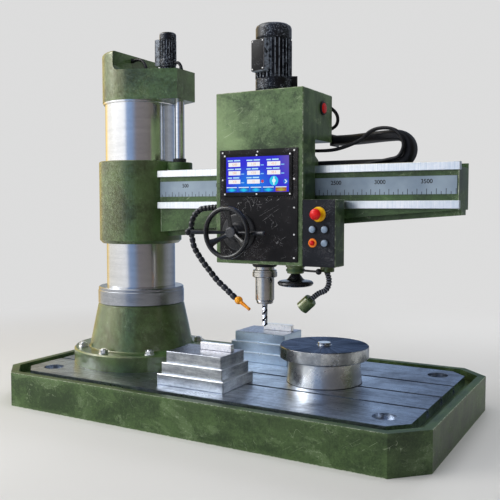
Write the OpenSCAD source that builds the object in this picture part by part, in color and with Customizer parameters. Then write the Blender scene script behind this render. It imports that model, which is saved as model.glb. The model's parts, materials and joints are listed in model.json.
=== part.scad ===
// Radial arm drill: a ribbed base with a slotted table, a swinging column, an arm that climbs
// the column on a screw, and a drill head that travels along the arm.
// Millimetres. X runs along the base towards the arm, Y to the back, Z up from the floor.

/* [Base] */
// Length of the base casting
base_l = 2500; // [2440:10:2700]
// Width of the base casting
base_w = 1380; // [1320:10:1600]
// Height of the base casting at its rim
base_h = 190; // [175:1:220]
// Corner chamfer of the base, along each side
base_cut = 148; // [110:1:180]
// Width of the rim's flat top
rim_w = 42; // [32:1:60]
// Width of the coolant trough inside the rim
trough_w = 63; // [50:1:80]
// Depth of the coolant trough below the rim
trough_d = 50; // [44:1:60]
// Drop of the table's top below the rim
table_drop = 3; // [0:0.5:5]
// Thickness of the deck over the ribs
deck_t = 40; // [30:1:60]
// Thickness of the ribs under the deck
rib_t = 26; // [20:1:40]
// Number of rib pockets along the base
pockets_x = 10; // [10:1:14]

/* [Table slots and anchors] */
// Spacing of the three T-slots
slot_pitch = 245; // [200:1:260]
// Width of a T-slot's neck
slot_w = 22; // [18:1:28]
// Width of a T-slot's wide part
slot_wide_w = 38; // [32:1:46]
// Depth of a T-slot's neck
slot_neck_d = 20; // [16:1:22]
// Height of a T-slot's wide part
slot_wide_h = 17; // [12:1:18]
// Distance of the foundation holes from the base's ends
anchor_end = 242; // [225:1:280]
// Distance of the foundation holes from the base's sides
anchor_side = 238; // [215:1:260]
// Diameter of a foundation hole
anchor_d = 42; // [36:1:50]
// Diameter of a foundation hole's counterbore
anchor_cb_d = 112; // [90:1:120]
// Depth of a foundation hole's counterbore
anchor_cb_h = 24; // [16:1:30]

/* [Column] */
// Distance of the column axis from the base's left end
column_in = 538; // [520:1:560]
// Radius of the column foot's flange
flange_r = 408; // [395:1:430]
// Thickness of the flange
flange_t = 92; // [80:1:110]
// Radius of the foot's cone where it leaves the flange
cone_r = 313; // [305:1:320]
// Height of the foot's cone
cone_h = 262; // [230:1:290]
// Radius of the clamp ring, and of the cone's top
clamp_r = 261.5; // [255:0.5:275]
// Height of the clamp ring
clamp_h = 102; // [90:1:115]
// Radius of the swinging column tube
tube_r = 208; // [200:1:214]
// Wall of the column tube
tube_wall = 38; // [30:1:44]
// Length of the column tube above the clamp ring
tube_len = 1104; // [1080:1:1150]
// Radius of the fixed inner pillar
pillar_r = 148; // [130:1:155]
// Wall of the inner pillar
pillar_wall = 40; // [25:1:60]
// Radius of the circle of flange bolts
flange_bolt_r = 355; // [350:1:362]
// Number of flange bolts
flange_bolts = 8; // [6:1:12]

/* [Column cap] */
// Radius of the cap over the column
cap_r = 222; // [219:1:232]
// Height of the cap's shelf
cap_h = 173; // [150:1:190]
// Distance of the cap's end face from the column axis
cap_reach = 342; // [337:1:355]
// Half width of the cap's end face
cap_end_w = 91; // [80:1:110]
// Rise of the cap's rear hood over the shelf
hood_h = 115; // [90:1:130]
// Distance of the hood's face behind the column axis
hood_back = 24; // [10:1:40]
// Fillet between the hood's face and the shelf
hood_fillet = 36; // [20:1:50]
// Height of the bright lip ring under the cap
lip_h = 12; // [8:1:16]
// Distance of the elevating screw from the column axis
screw_off = 293; // [288:1:300]
// Radius of the elevating screw
screw_r = 29; // [24:1:32]
// Distance of the elevating motor from the column axis
lift_motor_off = 213; // [205:1:225]
// Radius of the elevating motor over its fins
lift_motor_r = 51; // [44:1:56]
// Height of the elevating motor over the shelf
lift_motor_h = 231; // [200:1:250]

/* [Arm] */
// Radius of the arm's sleeve
sleeve_r = 248; // [240:1:256]
// Height of the sleeve
sleeve_h = 489; // [460:1:500]
// Height of the sleeve's lower edge above the floor, in the rest pose
sleeve_z = 906; // [890:1:925]
// Distance of the beam's end from the column axis
arm_len = 1948; // [1930:1:1958]
// Distance of the beam's front face from the column plane
web_front = 100; // [95:1:105]
// Distance of the beam's back face from the column plane
web_back = 96; // [92:1:110]
// Height of the beam's top above the sleeve's lower edge
beam_top = 429; // [424:1:434]
// Height of the beam's lower edge above the sleeve's lower edge, at the sleeve
web_low_in = 72; // [60:1:85]
// Height of the beam's lower edge above the sleeve's lower edge, at the free end
web_low_out = 203; // [195:1:206]
// Height of the keel's lower edge above the sleeve's lower edge, at the sleeve
keel_low_in = 43; // [30:1:55]
// Height of the keel's lower edge above the sleeve's lower edge, at the free end
keel_low_out = 177; // [165:1:185]
// Half width of the keel under the beam
keel_w = 47.5; // [40:0.5:60]
// Height of each guide rail
rail_h = 39; // [34:1:42]
// Depth of the guide rails in front of the web
rail_proud = 19.7; // [16:0.1:24]
// Depth of the channel in the beam's top
channel_d = 23; // [16:1:26]
// Half width of the channel in the beam's top
channel_w = 85; // [82:0.5:88]
// Height of the lower rail's lower edge above the sleeve's lower edge
low_rail_z = 208; // [207:1:214]
// Height of the ruler plate's lower edge above the sleeve's lower edge
ruler_z = 277; // [270:1:280]
// Height of the ruler plate
ruler_h = 87; // [80:1:95]
// Radius of the lobe that carries the lifting nut
lobe_r = 75; // [68:1:80]
// Height of the lobe's top above the sleeve's lower edge
lobe_top = 479; // [470:1:486]
// Radius of the lifting nut
nut_r = 38.5; // [36:0.5:44]

/* [Head] */
// Distance of the head's left face from the column axis, in the rest pose
head_x = 717; // [700:1:730]
// Width of the head
head_w = 507; // [495:1:520]
// Distance of the head's front face from the column plane
head_front = 266; // [255:1:280]
// Height of the head's lower face above the floor, in the rest pose
head_z = 827; // [822:1:832]
// Height of the head
head_h = 890; // [860:1:900]
// Height of the overhanging part of the head, above its lower face
over_z = 641; // [632:1:650]
// Distance of the overhanging part's back face behind the column plane
over_back = 98; // [90:1:100]
// Edge chamfer of the head and its boxes
edge = 4; // [2:0.5:6]
// Thickness of the black front panel
panel_t = 6; // [4:0.5:10]
// Height of the front panel
panel_h = 573; // [560:1:590]
// Thickness of the screen's bezel
bezel_t = 7; // [5:0.5:10]
// Width of the bezel
bezel_w = 403; // [392:1:410]
// Height of the bezel
bezel_h = 222; // [215:1:230]
// Height of the bezel's lower edge above the head's lower face
bezel_up = 350; // [340:1:358]
// Width of the screen
screen_w = 369; // [350:1:374]
// Height of the screen
screen_h = 182; // [170:1:188]
// Width of the control box
box_w = 175; // [165:1:190]
// Height of the control box
box_h = 334; // [320:1:350]
// Depth of the control box
box_d = 119; // [105:1:130]
// Radius of the main motor over its fins
motor_r = 98; // [90:1:104]
// Height of the main motor over the head
motor_h = 366; // [340:1:400]

/* [Spindle and feed] */
// Distance of the spindle axis from the head's left face
spindle_x = 253; // [248:1:258]
// Distance of the spindle axis in front of the column plane
spindle_y = 190; // [187:1:193]
// Radius of the quill
quill_r = 50; // [46:0.5:53]
// Height of the quill's top above the head's lower face
quill_up = 353; // [340:1:370]
// Radius of the spindle shaft inside the quill
shaft_r = 25; // [20:0.5:30]
// Radius of the drill
drill_r = 15; // [10:0.5:18]
// Distance of the handwheel axis from the head's left face
wheel_x = 145; // [140:1:150]
// Height of the handwheel axis above the head's lower face
wheel_z = 165; // [155:1:175]
// Outer radius of the traverse handwheel
wheel_r = 135.5; // [128:0.5:142]
// Radius of the handwheel's rim tube
wheel_tube_r = 12; // [9:0.5:14]
// Half depth of the rim tube, along the axis
wheel_tube_d = 16; // [12:0.5:17]
// Distance of the rim's middle in front of the head
wheel_out = 134; // [132:1:140]
// Length of a capstan lever, from the axis
lever_len = 236; // [220:1:250]
// Radius of the capstan's dial
dial_r = 97; // [90:1:104]
// Radius of the fine feed wheel
fine_r = 92.5; // [85:0.5:96]
// Distance of the fine feed axis from the head's left face
fine_off = 432; // [425:1:440]
// Distance of the fine feed wheel's upper side below the head
fine_drop = 78; // [72:1:84]

/* [Work tables] */
// Distance of the step blocks' middle from the column axis
block_off = 688; // [680:1:700]
// Distance of the round table's axis from the column axis
round_off = 1220; // [1200:1:1240]
// Length of a step block at its foot
block_l = 412; // [390:1:420]
// Width of a step block at its foot
block_w = 307; // [290:1:315]
// Height of one tier of a step block
tier_h = 58.3; // [50:0.1:62]
// Step between tiers, on every side
tier_in = 18; // [12:1:24]
// Radius of the round table's plate
round_r = 238; // [225:1:245]
// Height of the round table
round_h = 197; // [180:1:205]
// Thickness of the round table's plate
round_t = 67; // [55:1:75]
// Radius of the round table's centre bore
round_bore_r = 38.5; // [30:0.5:45]

/* [Conduit] */
// Half width of the conduit
conduit_w = 50; // [46:1:54]
// Half thickness of the conduit
conduit_t = 27; // [24:1:30]
// Radius of the conduit's bend
conduit_bend = 72; // [68:1:76]
// Distance of the bend's far side from the column axis
conduit_reach = 1679; // [1660:1:1690]
// Distance of the conduit's fixed end from the column axis
conduit_start = 1132; // [1120:1:1140]
// Radius of each cable of the pair in front of the conduit
twin_r = 8; // [6:0.5:9]

/* [Clearances] */
// Running clearance of a shaft in its bore, on the radius
run = 0.05; // [0.02:0.01:0.1]
// Gap between parts that lie on each other and move
seat = 0.3; // [0.2:0.05:0.5]

/* [Hidden] */
$fn = 48;
eps = 1;
deck_z = base_h - trough_d;
table_z = base_h - table_drop;
table_in = rim_w + trough_w;
col_x = column_in - base_l / 2;
flange_z = table_z + flange_t;
cone_z = flange_z + cone_h;
clamp_z = cone_z + clamp_h;
cap_z = clamp_z + tube_len;
shelf_z = cap_z + cap_h;
tube_in_r = tube_r - tube_wall;
pillar_z = cap_z - 34;
screw_x = col_x + screw_off;
lift_motor_x = col_x + lift_motor_off;
beam_z = sleeve_z + beam_top;
arm_end = col_x + arm_len;
channel_z = beam_z - channel_d;
rail_y = -web_front - rail_proud;
rail_over = 8;
rail_end = arm_end + rail_over;
up_rail_z = beam_z - rail_h;
lo_rail_z = sleeve_z + low_rail_z;
nut_h = 24;
nut_z = sleeve_z + lobe_top;
nut_depth = 100;
screw_low_z = sleeve_z + 104;
hx = col_x + head_x;
hx2 = hx + head_w;
hf = -head_front;
hb = rail_y - seat;
head_top = head_z + head_h;
panel_f = hf - panel_t;
panel_x = hx + 27;
panel_x2 = hx2 - 25;
panel_z = head_z + 18;
bezel_x = hx + 51;
bezel_z = head_z + bezel_up;
screen_x = bezel_x + (bezel_w - screen_w) / 2;
screen_z = bezel_z + (bezel_h - screen_h) / 2 + 2;
screw_head_r = 4.5;
box_f = hf - 4;
button_x = [hx2 + 57, hx2 + 122];
button_z = [head_z + 118, head_z + 185];
stop_x = hx2 + 89.5;
stop_z = head_z + 259.5;
stop_rise = 62;
side_y = -28;
side_z = head_top - 80;
side_r = 27;
sx = hx + spindle_x;
sy = -spindle_y;
wx = hx + wheel_x;
wz = head_z + wheel_z;
collar_r = quill_r + 15;
seal_h = 17;
neck_h = 15;
collar_h = 40;
nose_h = 139;
neck_z = head_z - seal_h - neck_h;
collar_z = neck_z - collar_h;
nose_z = collar_z - nose_h;
quill_top = head_z + quill_up;
drill_len = 123;
drill_depth = 85;
wheel_plane = head_front + wheel_out;
dial_f = head_front + panel_t + seat;
hub_f = head_front + 86;
sleeve_shaft_r = 24;
wheel_shaft_r = 14;
lever_tilt = 15.4;
lever_plane = head_front + 69;
fine_x = hx + fine_off;
fine_z = head_z - fine_drop;
boss_r = 43.5;
boss_h = 44;
lamp_x = hx2 + 93;
lamp_y = -170;
lamp_boss_r = 35.5;
lamp_z = head_z - 1 - 30;
clutch_z = head_z - 27;
clutch_len = 153;
clutch_turn = -15.1;
motor_x = sx;
motor_y = -95;
motor_turn = 77;
round_x = col_x + round_off;
round_y = 21;
round_top = table_z + round_h;
round_plate_z = round_top - round_t;
block_x = col_x + block_off;
block_y = [-334.5, 379.5];
bar_size = [192, 31, 39];
bar_off = [55, 30];
cable_r = 9;
hose_r = 16.5;
hose_groove_r = 13;
hose_bore_r = 10;
hose_ribs = 30;
hose_sides = 8;
ball_r = 21.5;
nozzle = [hx + 139, -268, head_z - 194];
nozzle_tip = [hx + 214, -285, head_z - 235];
hose_last = nozzle + unit([-38, 8, 19])
    * sqrt(pow(ball_r + 3 * seat, 2) - pow(hose_bore_r * cos(180 / hose_sides), 2));
hose_points = [
    [hx - 2 * seat, -215, head_z + 293], [hx - 48, -216, head_z + 293], [hx - 127, -225, head_z + 282],
    [hx - 170, -232, head_z + 239], [hx - 183, -235, head_z + 180], [hx - 175, -237, head_z + 124],
    [hx - 157, -239, head_z + 70], [hx - 105, -243, head_z + 3], [hx - 59, -247, head_z - 44],
    [hx - 2, -252, head_z - 99], [hx + 58, -256, head_z - 143], [hx + 101, -260, head_z - 175],
    hose_last];
neck_r = 14.5;
neck_groove_r = 12.5;
neck_ribs = 30;
lamp_points = [
    [lamp_x, lamp_y, lamp_z - 5], [lamp_x + 6, lamp_y, lamp_z - 22], [lamp_x + 10, lamp_y, lamp_z - 43],
    [lamp_x + 6, lamp_y, lamp_z - 72], [lamp_x - 11, lamp_y, lamp_z - 96],
    [lamp_x - 42, lamp_y, lamp_z - 110], [lamp_x - 67, lamp_y, lamp_z - 127.5],
    [lamp_x - 84, lamp_y, lamp_z - 143]];
shade_r = 35;
shade_h = 74;
shade_wall = 3;
shade_tilt = 47.7;
shade_back = lamp_points[len(lamp_points) - 1];
conduit_low = channel_z + seat + conduit_t;
conduit_apex = col_x + conduit_reach;
conduit_in = col_x + conduit_start;
conduit_y = 30;
conduit_out_y = 150;
twin_y = conduit_y - conduit_w - twin_r - seat;
twin_start = 395;
bracket_x = hx2 - 12;

function unit(v) = v / norm(v);

// Outline p with each corner cut off by c along both sides
function cut(p, c) = [for (i = [0 : len(p) - 1])
    let (a = p[(i + len(p) - 1) % len(p)], b = p[(i + 1) % len(p)])
    each [p[i] + c * unit(a - p[i]), p[i] + c * unit(b - p[i])]];

function rect(x0, x1, y0, y1) = [[x0, y0], [x1, y0], [x1, y1], [x0, y1]];

// Plan of the base, moved in by the given amount on every side
function base_plan(inset) = cut(rect(inset - base_l / 2, base_l / 2 - inset,
    inset - base_w / 2, base_w / 2 - inset), base_cut - inset * (2 - sqrt(2)));

// Point at t on a smooth curve through the points p
function on_curve(p, t) =
    let (n = len(p) - 1, i = min(floor(t), n - 1), u = t - i,
         a = p[max(i - 1, 0)], b = p[i], c = p[i + 1], d = p[min(i + 2, n)])
    b + 0.5 * u * ((c - a) + u * (2 * a - 5 * b + 4 * c - d + u * (3 * (b - c) + d - a)));

function route(p, steps) = [for (k = [0 : steps]) on_curve(p, (len(p) - 1) * k / steps)];

function heading(p, i) = unit(p[min(i + 1, len(p) - 1)] - p[max(i - 1, 0)]);

// Ring of points round p, square to direction t; ry lies as near as it can to side
function hoop(p, t, ry, rz, sides, side = [0, 1, 0]) =
    let (u = unit(side - (side * t) * t), v = cross(t, u))
    [for (k = [0 : sides - 1])
        p + ry * cos(360 * k / sides) * u + rz * sin(360 * k / sides) * v];

// Triangles between rings; first is the number of the first point
function wall_faces(rings, sides, first, inward = false) = [
    for (i = [0 : rings - 2], k = [0 : sides - 1])
        let (a = first + i * sides + k, b = first + i * sides + (k + 1) % sides,
             c = b + sides, d = a + sides)
        each inward ? [[a, b, c], [a, c, d]] : [[a, c, b], [a, d, c]]];

// Solid swept along path, ry wide towards side and rz thick the other way at each point
module sweep(path, ry, rz, sides, side = [0, 1, 0]) {
    n = len(path);
    last = (n - 1) * sides;
    polyhedron(
        points = [for (i = [0 : n - 1])
            each hoop(path[i], heading(path, i), ry[i], rz[i], sides, side)],
        faces = concat(wall_faces(n, sides, 0),
            [for (k = [1 : sides - 2]) [0, k, k + 1]],
            [for (k = [1 : sides - 2]) [last, last + k + 1, last + k]]));
}

// Hose with ribs outside and a smooth bore
module ribbed_hose(points, ribs, crest, groove, bore, sides) {
    outer = route(points, 2 * ribs + 1);
    inner = route(points, ribs);
    n = len(outer);
    m = len(inner);
    o = (n - 1) * sides;
    s = n * sides;
    e = s + (m - 1) * sides;
    polyhedron(
        points = concat(
            [for (i = [0 : n - 1]) let (r = i % 2 == 0 ? groove : crest)
                each hoop(outer[i] + (i % 2 == 0 ? [0, 0, 0] : 0.3 * (outer[i - 1] - outer[i])),
                    heading(outer, i), r, r, sides)],
            [for (i = [0 : m - 1]) each hoop(inner[i], heading(inner, i), bore, bore, sides)]),
        faces = concat(wall_faces(n, sides, 0), wall_faces(m, sides, s, true),
            [for (k = [0 : sides - 1]) let (j = (k + 1) % sides)
                each [[k, j, s + j], [k, s + j, s + k], [o + k, e + j, o + j], [o + k, e + k, e + j]]]));
}

// Box with all twelve edges chamfered
module soft_box(x0, x1, y0, y1, z0, z1, c) {
    intersection() {
        translate([0, 0, z0]) linear_extrude(z1 - z0) polygon(cut(rect(x0, x1, y0, y1), c));
        translate([0, y1, 0]) rotate([90, 0, 0])
            linear_extrude(y1 - y0) polygon(cut(rect(x0, x1, z0, z1), c));
        rotate([90, 0, 90]) translate([0, 0, x0])
            linear_extrude(x1 - x0) polygon(cut(rect(y0, y1, z0, z1), c));
    }
}

// Places what is drawn along +Z so that it points out of the head's front
module to_front(x, z) {
    translate([x, 0, z]) rotate([90, 0, 0]) children();
}

// Profile revolved about Z, given as [radius, height] points
module turned(profile) {
    rotate_extrude() polygon(profile);
}

// Upright motor: flange, finned barrel and a terminal box towards -X from low to high
module motor(r, h, box_reach, fins, low, high) {
    turned([[0, 0], [r * 0.93, 0], [r * 0.93, h * 0.05], [r * 0.98, h * 0.07], [r * 0.98, h * 0.2],
        [r * 0.9, h * 0.24], [r * 0.86, h * 0.24], [r * 0.86, h * 0.78], [0, h * 0.78]]);
    for (i = [0 : fins - 1])
        rotate([0, 0, 360 * (i + 0.5) / fins])
            translate([r * 0.8, -r * 0.025, h * 0.22]) cube([r * 0.19, r * 0.05, h * 0.54]);
    soft_box(-box_reach, -r * 0.7, -r * 0.46, r * 0.46, low, high, r * 0.04);
}

// Fan cowl over a motor, with a dished top
module cowl(r, h, z0) {
    turned([[0, z0], [r * 0.94, z0], [r * 0.97, z0 + h * 0.02], [r * 0.97, h * 0.93],
        [r * 0.93, h * 0.96], [r * 0.8, h * 0.985], [r * 0.4, h], [0, h]]);
}

module base_casting() {
    pitch_x = (base_l - 2 * rim_w + rib_t) / pockets_x;
    pocket_x = pitch_x - rib_t;
    pocket_y = base_w / 2 - rim_w - rib_t / 2;
    color("darkolivegreen") difference() {
        linear_extrude(base_h) polygon(base_plan(0));
        translate([0, 0, deck_z]) linear_extrude(trough_d + eps) polygon(base_plan(rim_w));
        difference() {
            intersection() {
                for (i = [0 : pockets_x - 1], side = [0, 1])
                    translate([rim_w - base_l / 2 + i * pitch_x,
                        side == 0 ? rim_w - base_w / 2 : rib_t / 2, -eps])
                        cube([pocket_x, pocket_y, deck_z - deck_t + eps]);
                translate([0, 0, -eps]) linear_extrude(base_h) polygon(base_plan(rim_w));
            }
            anchors() cylinder(d = anchor_cb_d, h = base_h);
        }
        anchors() translate([0, 0, -eps]) cylinder(d = anchor_d, h = base_h + 2 * eps);
    }
}

module anchors() {
    for (i = [-1, 1], k = [-1, 1])
        translate([i * (base_l / 2 - anchor_end), k * (base_w / 2 - anchor_side), 0]) children();
}

// T-slot from x0 to past the plate's right end
module t_slot(x0, y) {
    len_x = base_l / 2 - x0;
    translate([x0, y - slot_w / 2, table_z - slot_neck_d])
        cube([len_x, slot_w, slot_neck_d + eps]);
    translate([x0, y - slot_wide_w / 2, table_z - slot_neck_d - slot_wide_h])
        cube([len_x, slot_wide_w, slot_wide_h + 0.01]);
}

module table_plate() {
    color("slategray") difference() {
        translate([0, 0, deck_z]) linear_extrude(table_z - deck_z) polygon(base_plan(table_in));
        for (side = [-1, 1]) t_slot(-base_l / 2, side * slot_pitch);
        t_slot(col_x + flange_r + 20, 0);
        anchors() {
            translate([0, 0, table_z - anchor_cb_h]) cylinder(d = anchor_cb_d, h = anchor_cb_h + eps);
            cylinder(d = anchor_d, h = base_h);
        }
    }
}

module column_foot() {
    lip = 8;
    fillet = 12;
    color("darkolivegreen") translate([col_x, 0, 0]) difference() {
        turned(concat(
            [[0, table_z], [flange_r, table_z], [flange_r, flange_z - lip], [flange_r - lip, flange_z]],
            [for (a = [0 : 15 : 75])
                [cone_r + fillet * (1 - sin(a)), flange_z + fillet * (1 - cos(a))]],
            [[clamp_r, cone_z - 6], [clamp_r - 6, cone_z], [0, cone_z]]));
        translate([0, 0, table_z - eps]) cylinder(r = pillar_r, h = flange_t + cone_h + 2 * eps);
        flange_holes() translate([0, 0, table_z - eps]) cylinder(r = 16, h = flange_t + 2 * eps);
    }
}

module flange_holes() {
    for (i = [0 : flange_bolts - 1])
        rotate([0, 0, 360 * i / flange_bolts]) translate([flange_bolt_r, 0, 0]) children();
}

module foot_bolts() {
    color("silver") translate([col_x, 0, 0]) flange_holes() {
        translate([0, 0, table_z]) cylinder(r = 15.5, h = flange_t);
        translate([0, 0, flange_z]) cylinder(r = 28, h = 4);
        translate([0, 0, flange_z + 4]) cylinder(r = 25, h = 18, $fn = 6);
        translate([0, 0, flange_z + 22]) cylinder(r = 14, h = 6);
    }
}

module clamp_ring() {
    c = 5;
    groove = 3;
    mid = cone_z + clamp_h * 0.78;
    color("gainsboro") translate([col_x, 0, 0])
        turned([[tube_r + seat, cone_z], [clamp_r - c, cone_z], [clamp_r, cone_z + c],
            [clamp_r, mid], [clamp_r - groove, mid + groove], [clamp_r - groove, clamp_z - c],
            [clamp_r - groove - c, clamp_z], [tube_r + seat, clamp_z]]);
}

module inner_pillar() {
    color("dimgray") translate([col_x, 0, table_z]) difference() {
        cylinder(r = pillar_r, h = pillar_z - table_z);
        translate([0, 0, -eps]) cylinder(r = pillar_r - pillar_wall, h = pillar_z - table_z + 2 * eps);
    }
}

// Two bearings between the pillar and the tube, and the thrust ring that carries the cap
module pillar_bearings() {
    bearing_h = 46;
    color("lightsteelblue") translate([col_x, 0, 0]) {
        for (z = [cone_z + 20, pillar_z - bearing_h - 20])
            translate([0, 0, z]) difference() {
                cylinder(r = tube_in_r - run, h = bearing_h);
                translate([0, 0, -eps]) cylinder(r = pillar_r, h = bearing_h + 2 * eps);
            }
        translate([0, 0, pillar_z]) difference() {
            cylinder(r = pillar_r, h = cap_z - pillar_z - seat);
            translate([0, 0, -eps]) cylinder(r = pillar_r - pillar_wall, h = cap_z - pillar_z);
        }
    }
}

// Block of three tiers, each stepped in on every side, with a clamping bar on top
module step_block() {
    for (i = [0 : 2])
        soft_box(tier_in * i - block_l / 2, block_l / 2 - tier_in * i,
            tier_in * i - block_w / 2, block_w / 2 - tier_in * i,
            table_z + tier_h * i, table_z + tier_h * (i + 1), 3);
}

module step_blocks() {
    color("lightsteelblue") for (y = block_y)
        translate([block_x, y, 0]) {
            step_block();
            translate([bar_off[0], bar_off[1], table_z + 3 * tier_h])
                soft_box(-bar_size[0] / 2, bar_size[0] / 2, -bar_size[1] / 2, bar_size[1] / 2,
                    0, bar_size[2], 2);
        }
}

module round_table_base() {
    neck = round_r - 46;
    post_r = 30;
    color("lightgray") translate([round_x, round_y, 0]) difference() {
        turned([[0, table_z], [neck + 9, table_z], [neck + 9, table_z + 6], [neck + 3, table_z + 16],
            [neck, table_z + 34], [neck, round_plate_z - 12], [neck - 8, round_plate_z - seat],
            [0, round_plate_z - seat]]);
        translate([0, 0, table_z + 20]) cylinder(r = post_r + run, h = round_h);
    }
}

module round_table_top() {
    c = 4;
    post_r = 30;
    color("slategray") translate([round_x, round_y, 0]) difference() {
        union() {
            turned([[0, round_plate_z], [round_r - c, round_plate_z], [round_r, round_plate_z + c],
                [round_r, round_top - c], [round_r - c, round_top], [0, round_top]]);
            translate([0, 0, table_z + 20 + seat]) cylinder(r = post_r, h = round_h - round_t);
        }
        translate([0, 0, round_top - 50]) cylinder(r = round_bore_r, h = 50 + eps);
    }
}

module column_tube() {
    color("whitesmoke") translate([col_x, 0, 0]) difference() {
        translate([0, 0, cone_z + seat]) cylinder(r = tube_r, h = cap_z - cone_z - seat);
        translate([0, 0, cone_z]) cylinder(r = tube_in_r, h = cap_z - cone_z + eps);
    }
}

module cap_lip() {
    color("white") translate([col_x, 0, 0])
        turned([[tube_r, cap_z - lip_h], [cap_r - 6, cap_z - lip_h], [cap_r - 3, cap_z - lip_h + 3],
            [cap_r - 3, cap_z], [tube_r, cap_z]]);
}

// Straight sides of the cap, tangent to its round part
module cap_plan() {
    far = norm([cap_reach, cap_end_w]);
    turn = atan2(cap_end_w, cap_reach) + acos(cap_r / far);
    circle(r = cap_r);
    polygon([[0, 0], cap_r * [cos(turn), -sin(turn)], [cap_reach, -cap_end_w],
        [cap_reach, cap_end_w], cap_r * [cos(turn), sin(turn)]]);
}

module column_cap() {
    round_top_r = 18;
    hood_x = -hood_back;
    color("darkolivegreen") translate([col_x, 0, 0]) difference() {
        union() {
            translate([0, 0, cap_z]) linear_extrude(cap_h) cap_plan();
            intersection() {
                turned(concat([[0, shelf_z - eps], [cap_r, shelf_z - eps]],
                    [for (a = [0 : 18 : 90]) [cap_r - round_top_r * (1 - cos(a)),
                        shelf_z + hood_h - round_top_r * (1 - sin(a))]],
                    [[0, shelf_z + hood_h]]));
                union() {
                    translate([-2 * cap_r, -cap_r, shelf_z - eps])
                        cube([2 * cap_r + hood_x, 2 * cap_r, hood_h + 2 * eps]);
                    difference() {
                        translate([hood_x - eps, -cap_r, shelf_z - eps])
                            cube([hood_fillet + eps, 2 * cap_r, hood_fillet + eps]);
                        translate([hood_x + hood_fillet, 0, shelf_z + hood_fillet])
                            rotate([90, 0, 0]) cylinder(r = hood_fillet, h = 3 * cap_r, center = true);
                    }
                }
            }
        }
        translate([screw_off, 0, cap_z - eps]) cylinder(r = screw_r + run, h = cap_h * 0.6);
    }
}

module elevating_motor() {
    foot_h = 28;
    barrel_h = lift_motor_h - foot_h;
    color([0.08, 0.08, 0.1]) translate([lift_motor_x, 0, shelf_z]) {
        turned([[0, 0], [lift_motor_r * 1.25, 0], [lift_motor_r * 1.2, 5],
            [lift_motor_r * 0.75, foot_h], [0, foot_h]]);
        translate([0, 0, foot_h]) {
            motor(lift_motor_r, barrel_h, lift_motor_r + 25, 20, barrel_h * 0.06, barrel_h * 0.82);
            cowl(lift_motor_r, barrel_h, barrel_h * 0.78);
        }
    }
}

module cap_cables() {
    hood = [col_x - hood_back + 2 * seat, -40, shelf_z + 84];
    down = [hood[0] + 118, -56, shelf_z + 2 * seat];
    side = [lift_motor_x + lift_motor_r * 0.98 + 2, -4, shelf_z + 50];
    end = [side[0] + 44, -4, shelf_z + 2 * seat];
    first = route([hood, hood + [16, 0, 0], hood + [50, 0, 2], hood + [86, -8, -14],
        hood + [112, -14, -46], down + [0, 0, 14], down], 18);
    second = route([side, side + [8, 0, 0], side + [28, 0, -3],
        end + [0, 0, 24], end + [0, 0, 8], end], 12);
    color([0.05, 0.05, 0.05]) for (path = [first, second])
        sweep(path, [for (p = path) cable_r], [for (p = path) cable_r], 8);
}

module elevating_screw() {
    top = cap_z + cap_h * 0.6 - 6;
    color("silver") translate([screw_x, 0, screw_low_z]) {
        cylinder(r1 = screw_r - 4, r2 = screw_r, h = 4);
        translate([0, 0, 4]) cylinder(r = screw_r, h = top - screw_low_z - 4);
    }
}

module arm_sleeve() {
    low_cut = 18;
    top_cut = 5;
    color("darkolivegreen") translate([col_x, 0, 0])
        turned([[tube_r + run, sleeve_z], [sleeve_r - low_cut, sleeve_z], [sleeve_r, sleeve_z + low_cut],
            [sleeve_r, sleeve_z + sleeve_h - top_cut], [sleeve_r - top_cut, sleeve_z + sleeve_h],
            [tube_r + run, sleeve_z + sleeve_h]]);
}

// Beam with its keel, the channel in its top and the lobe that takes the lifting nut
module arm_beam() {
    root = col_x + tube_r;
    color("darkolivegreen") difference() {
        union() {
            difference() {
                translate([0, web_back, 0]) rotate([90, 0, 0]) linear_extrude(web_front + web_back)
                    polygon([[root, sleeve_z + web_low_in], [arm_end, sleeve_z + web_low_out],
                        [arm_end, beam_z], [root, beam_z]]);
                translate([root - eps, -channel_w, channel_z])
                    cube([arm_len, 2 * channel_w, channel_d + eps]);
                translate([root - eps, -web_front - eps, up_rail_z])
                    cube([arm_len, web_front - channel_w + eps, rail_h + eps]);
            }
            translate([0, keel_w, 0]) rotate([90, 0, 0]) linear_extrude(2 * keel_w)
                polygon([[root, sleeve_z + keel_low_in], [arm_end, sleeve_z + keel_low_out],
                    [arm_end, sleeve_z + web_low_out + eps], [root, sleeve_z + web_low_in + eps]]);
            translate([screw_x, 0, channel_z - eps])
                turned([[0, 0], [lobe_r, 0], [lobe_r, nut_z - channel_z - 3],
                    [lobe_r - 4, nut_z - channel_z + eps], [0, nut_z - channel_z + eps]]);
            translate([root, -lobe_r * 0.7, channel_z - eps])
                cube([screw_x - root, lobe_r * 1.4, nut_z - channel_z - 8]);
        }
        translate([col_x, 0, sleeve_z - 100]) cylinder(r = sleeve_r + seat / 2, h = sleeve_h + 200);
        translate([screw_x, 0, sleeve_z - eps]) cylinder(r = screw_r + 3, h = sleeve_h);
        translate([screw_x, 0, nut_z - nut_depth]) cylinder(r = nut_r, h = nut_depth + 2 * eps);
    }
}

module guide_rails() {
    c = 2;
    color("white") difference() {
        union() {
            soft_box(col_x + tube_r, rail_end, rail_y, -channel_w, up_rail_z, beam_z, c);
            soft_box(col_x + tube_r, rail_end, rail_y, -web_front, lo_rail_z, lo_rail_z + rail_h, c);
        }
        translate([col_x, 0, sleeve_z]) cylinder(r = sleeve_r + seat / 2, h = sleeve_h);
    }
}

module ruler_plate() {
    t = 3;
    color("lightsteelblue") difference() {
        translate([col_x + tube_r, -web_front - t, sleeve_z + ruler_z])
            cube([arm_len - tube_r - 8, t, ruler_h]);
        translate([col_x, 0, sleeve_z]) cylinder(r = sleeve_r + seat / 2, h = sleeve_h);
    }
}

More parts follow.
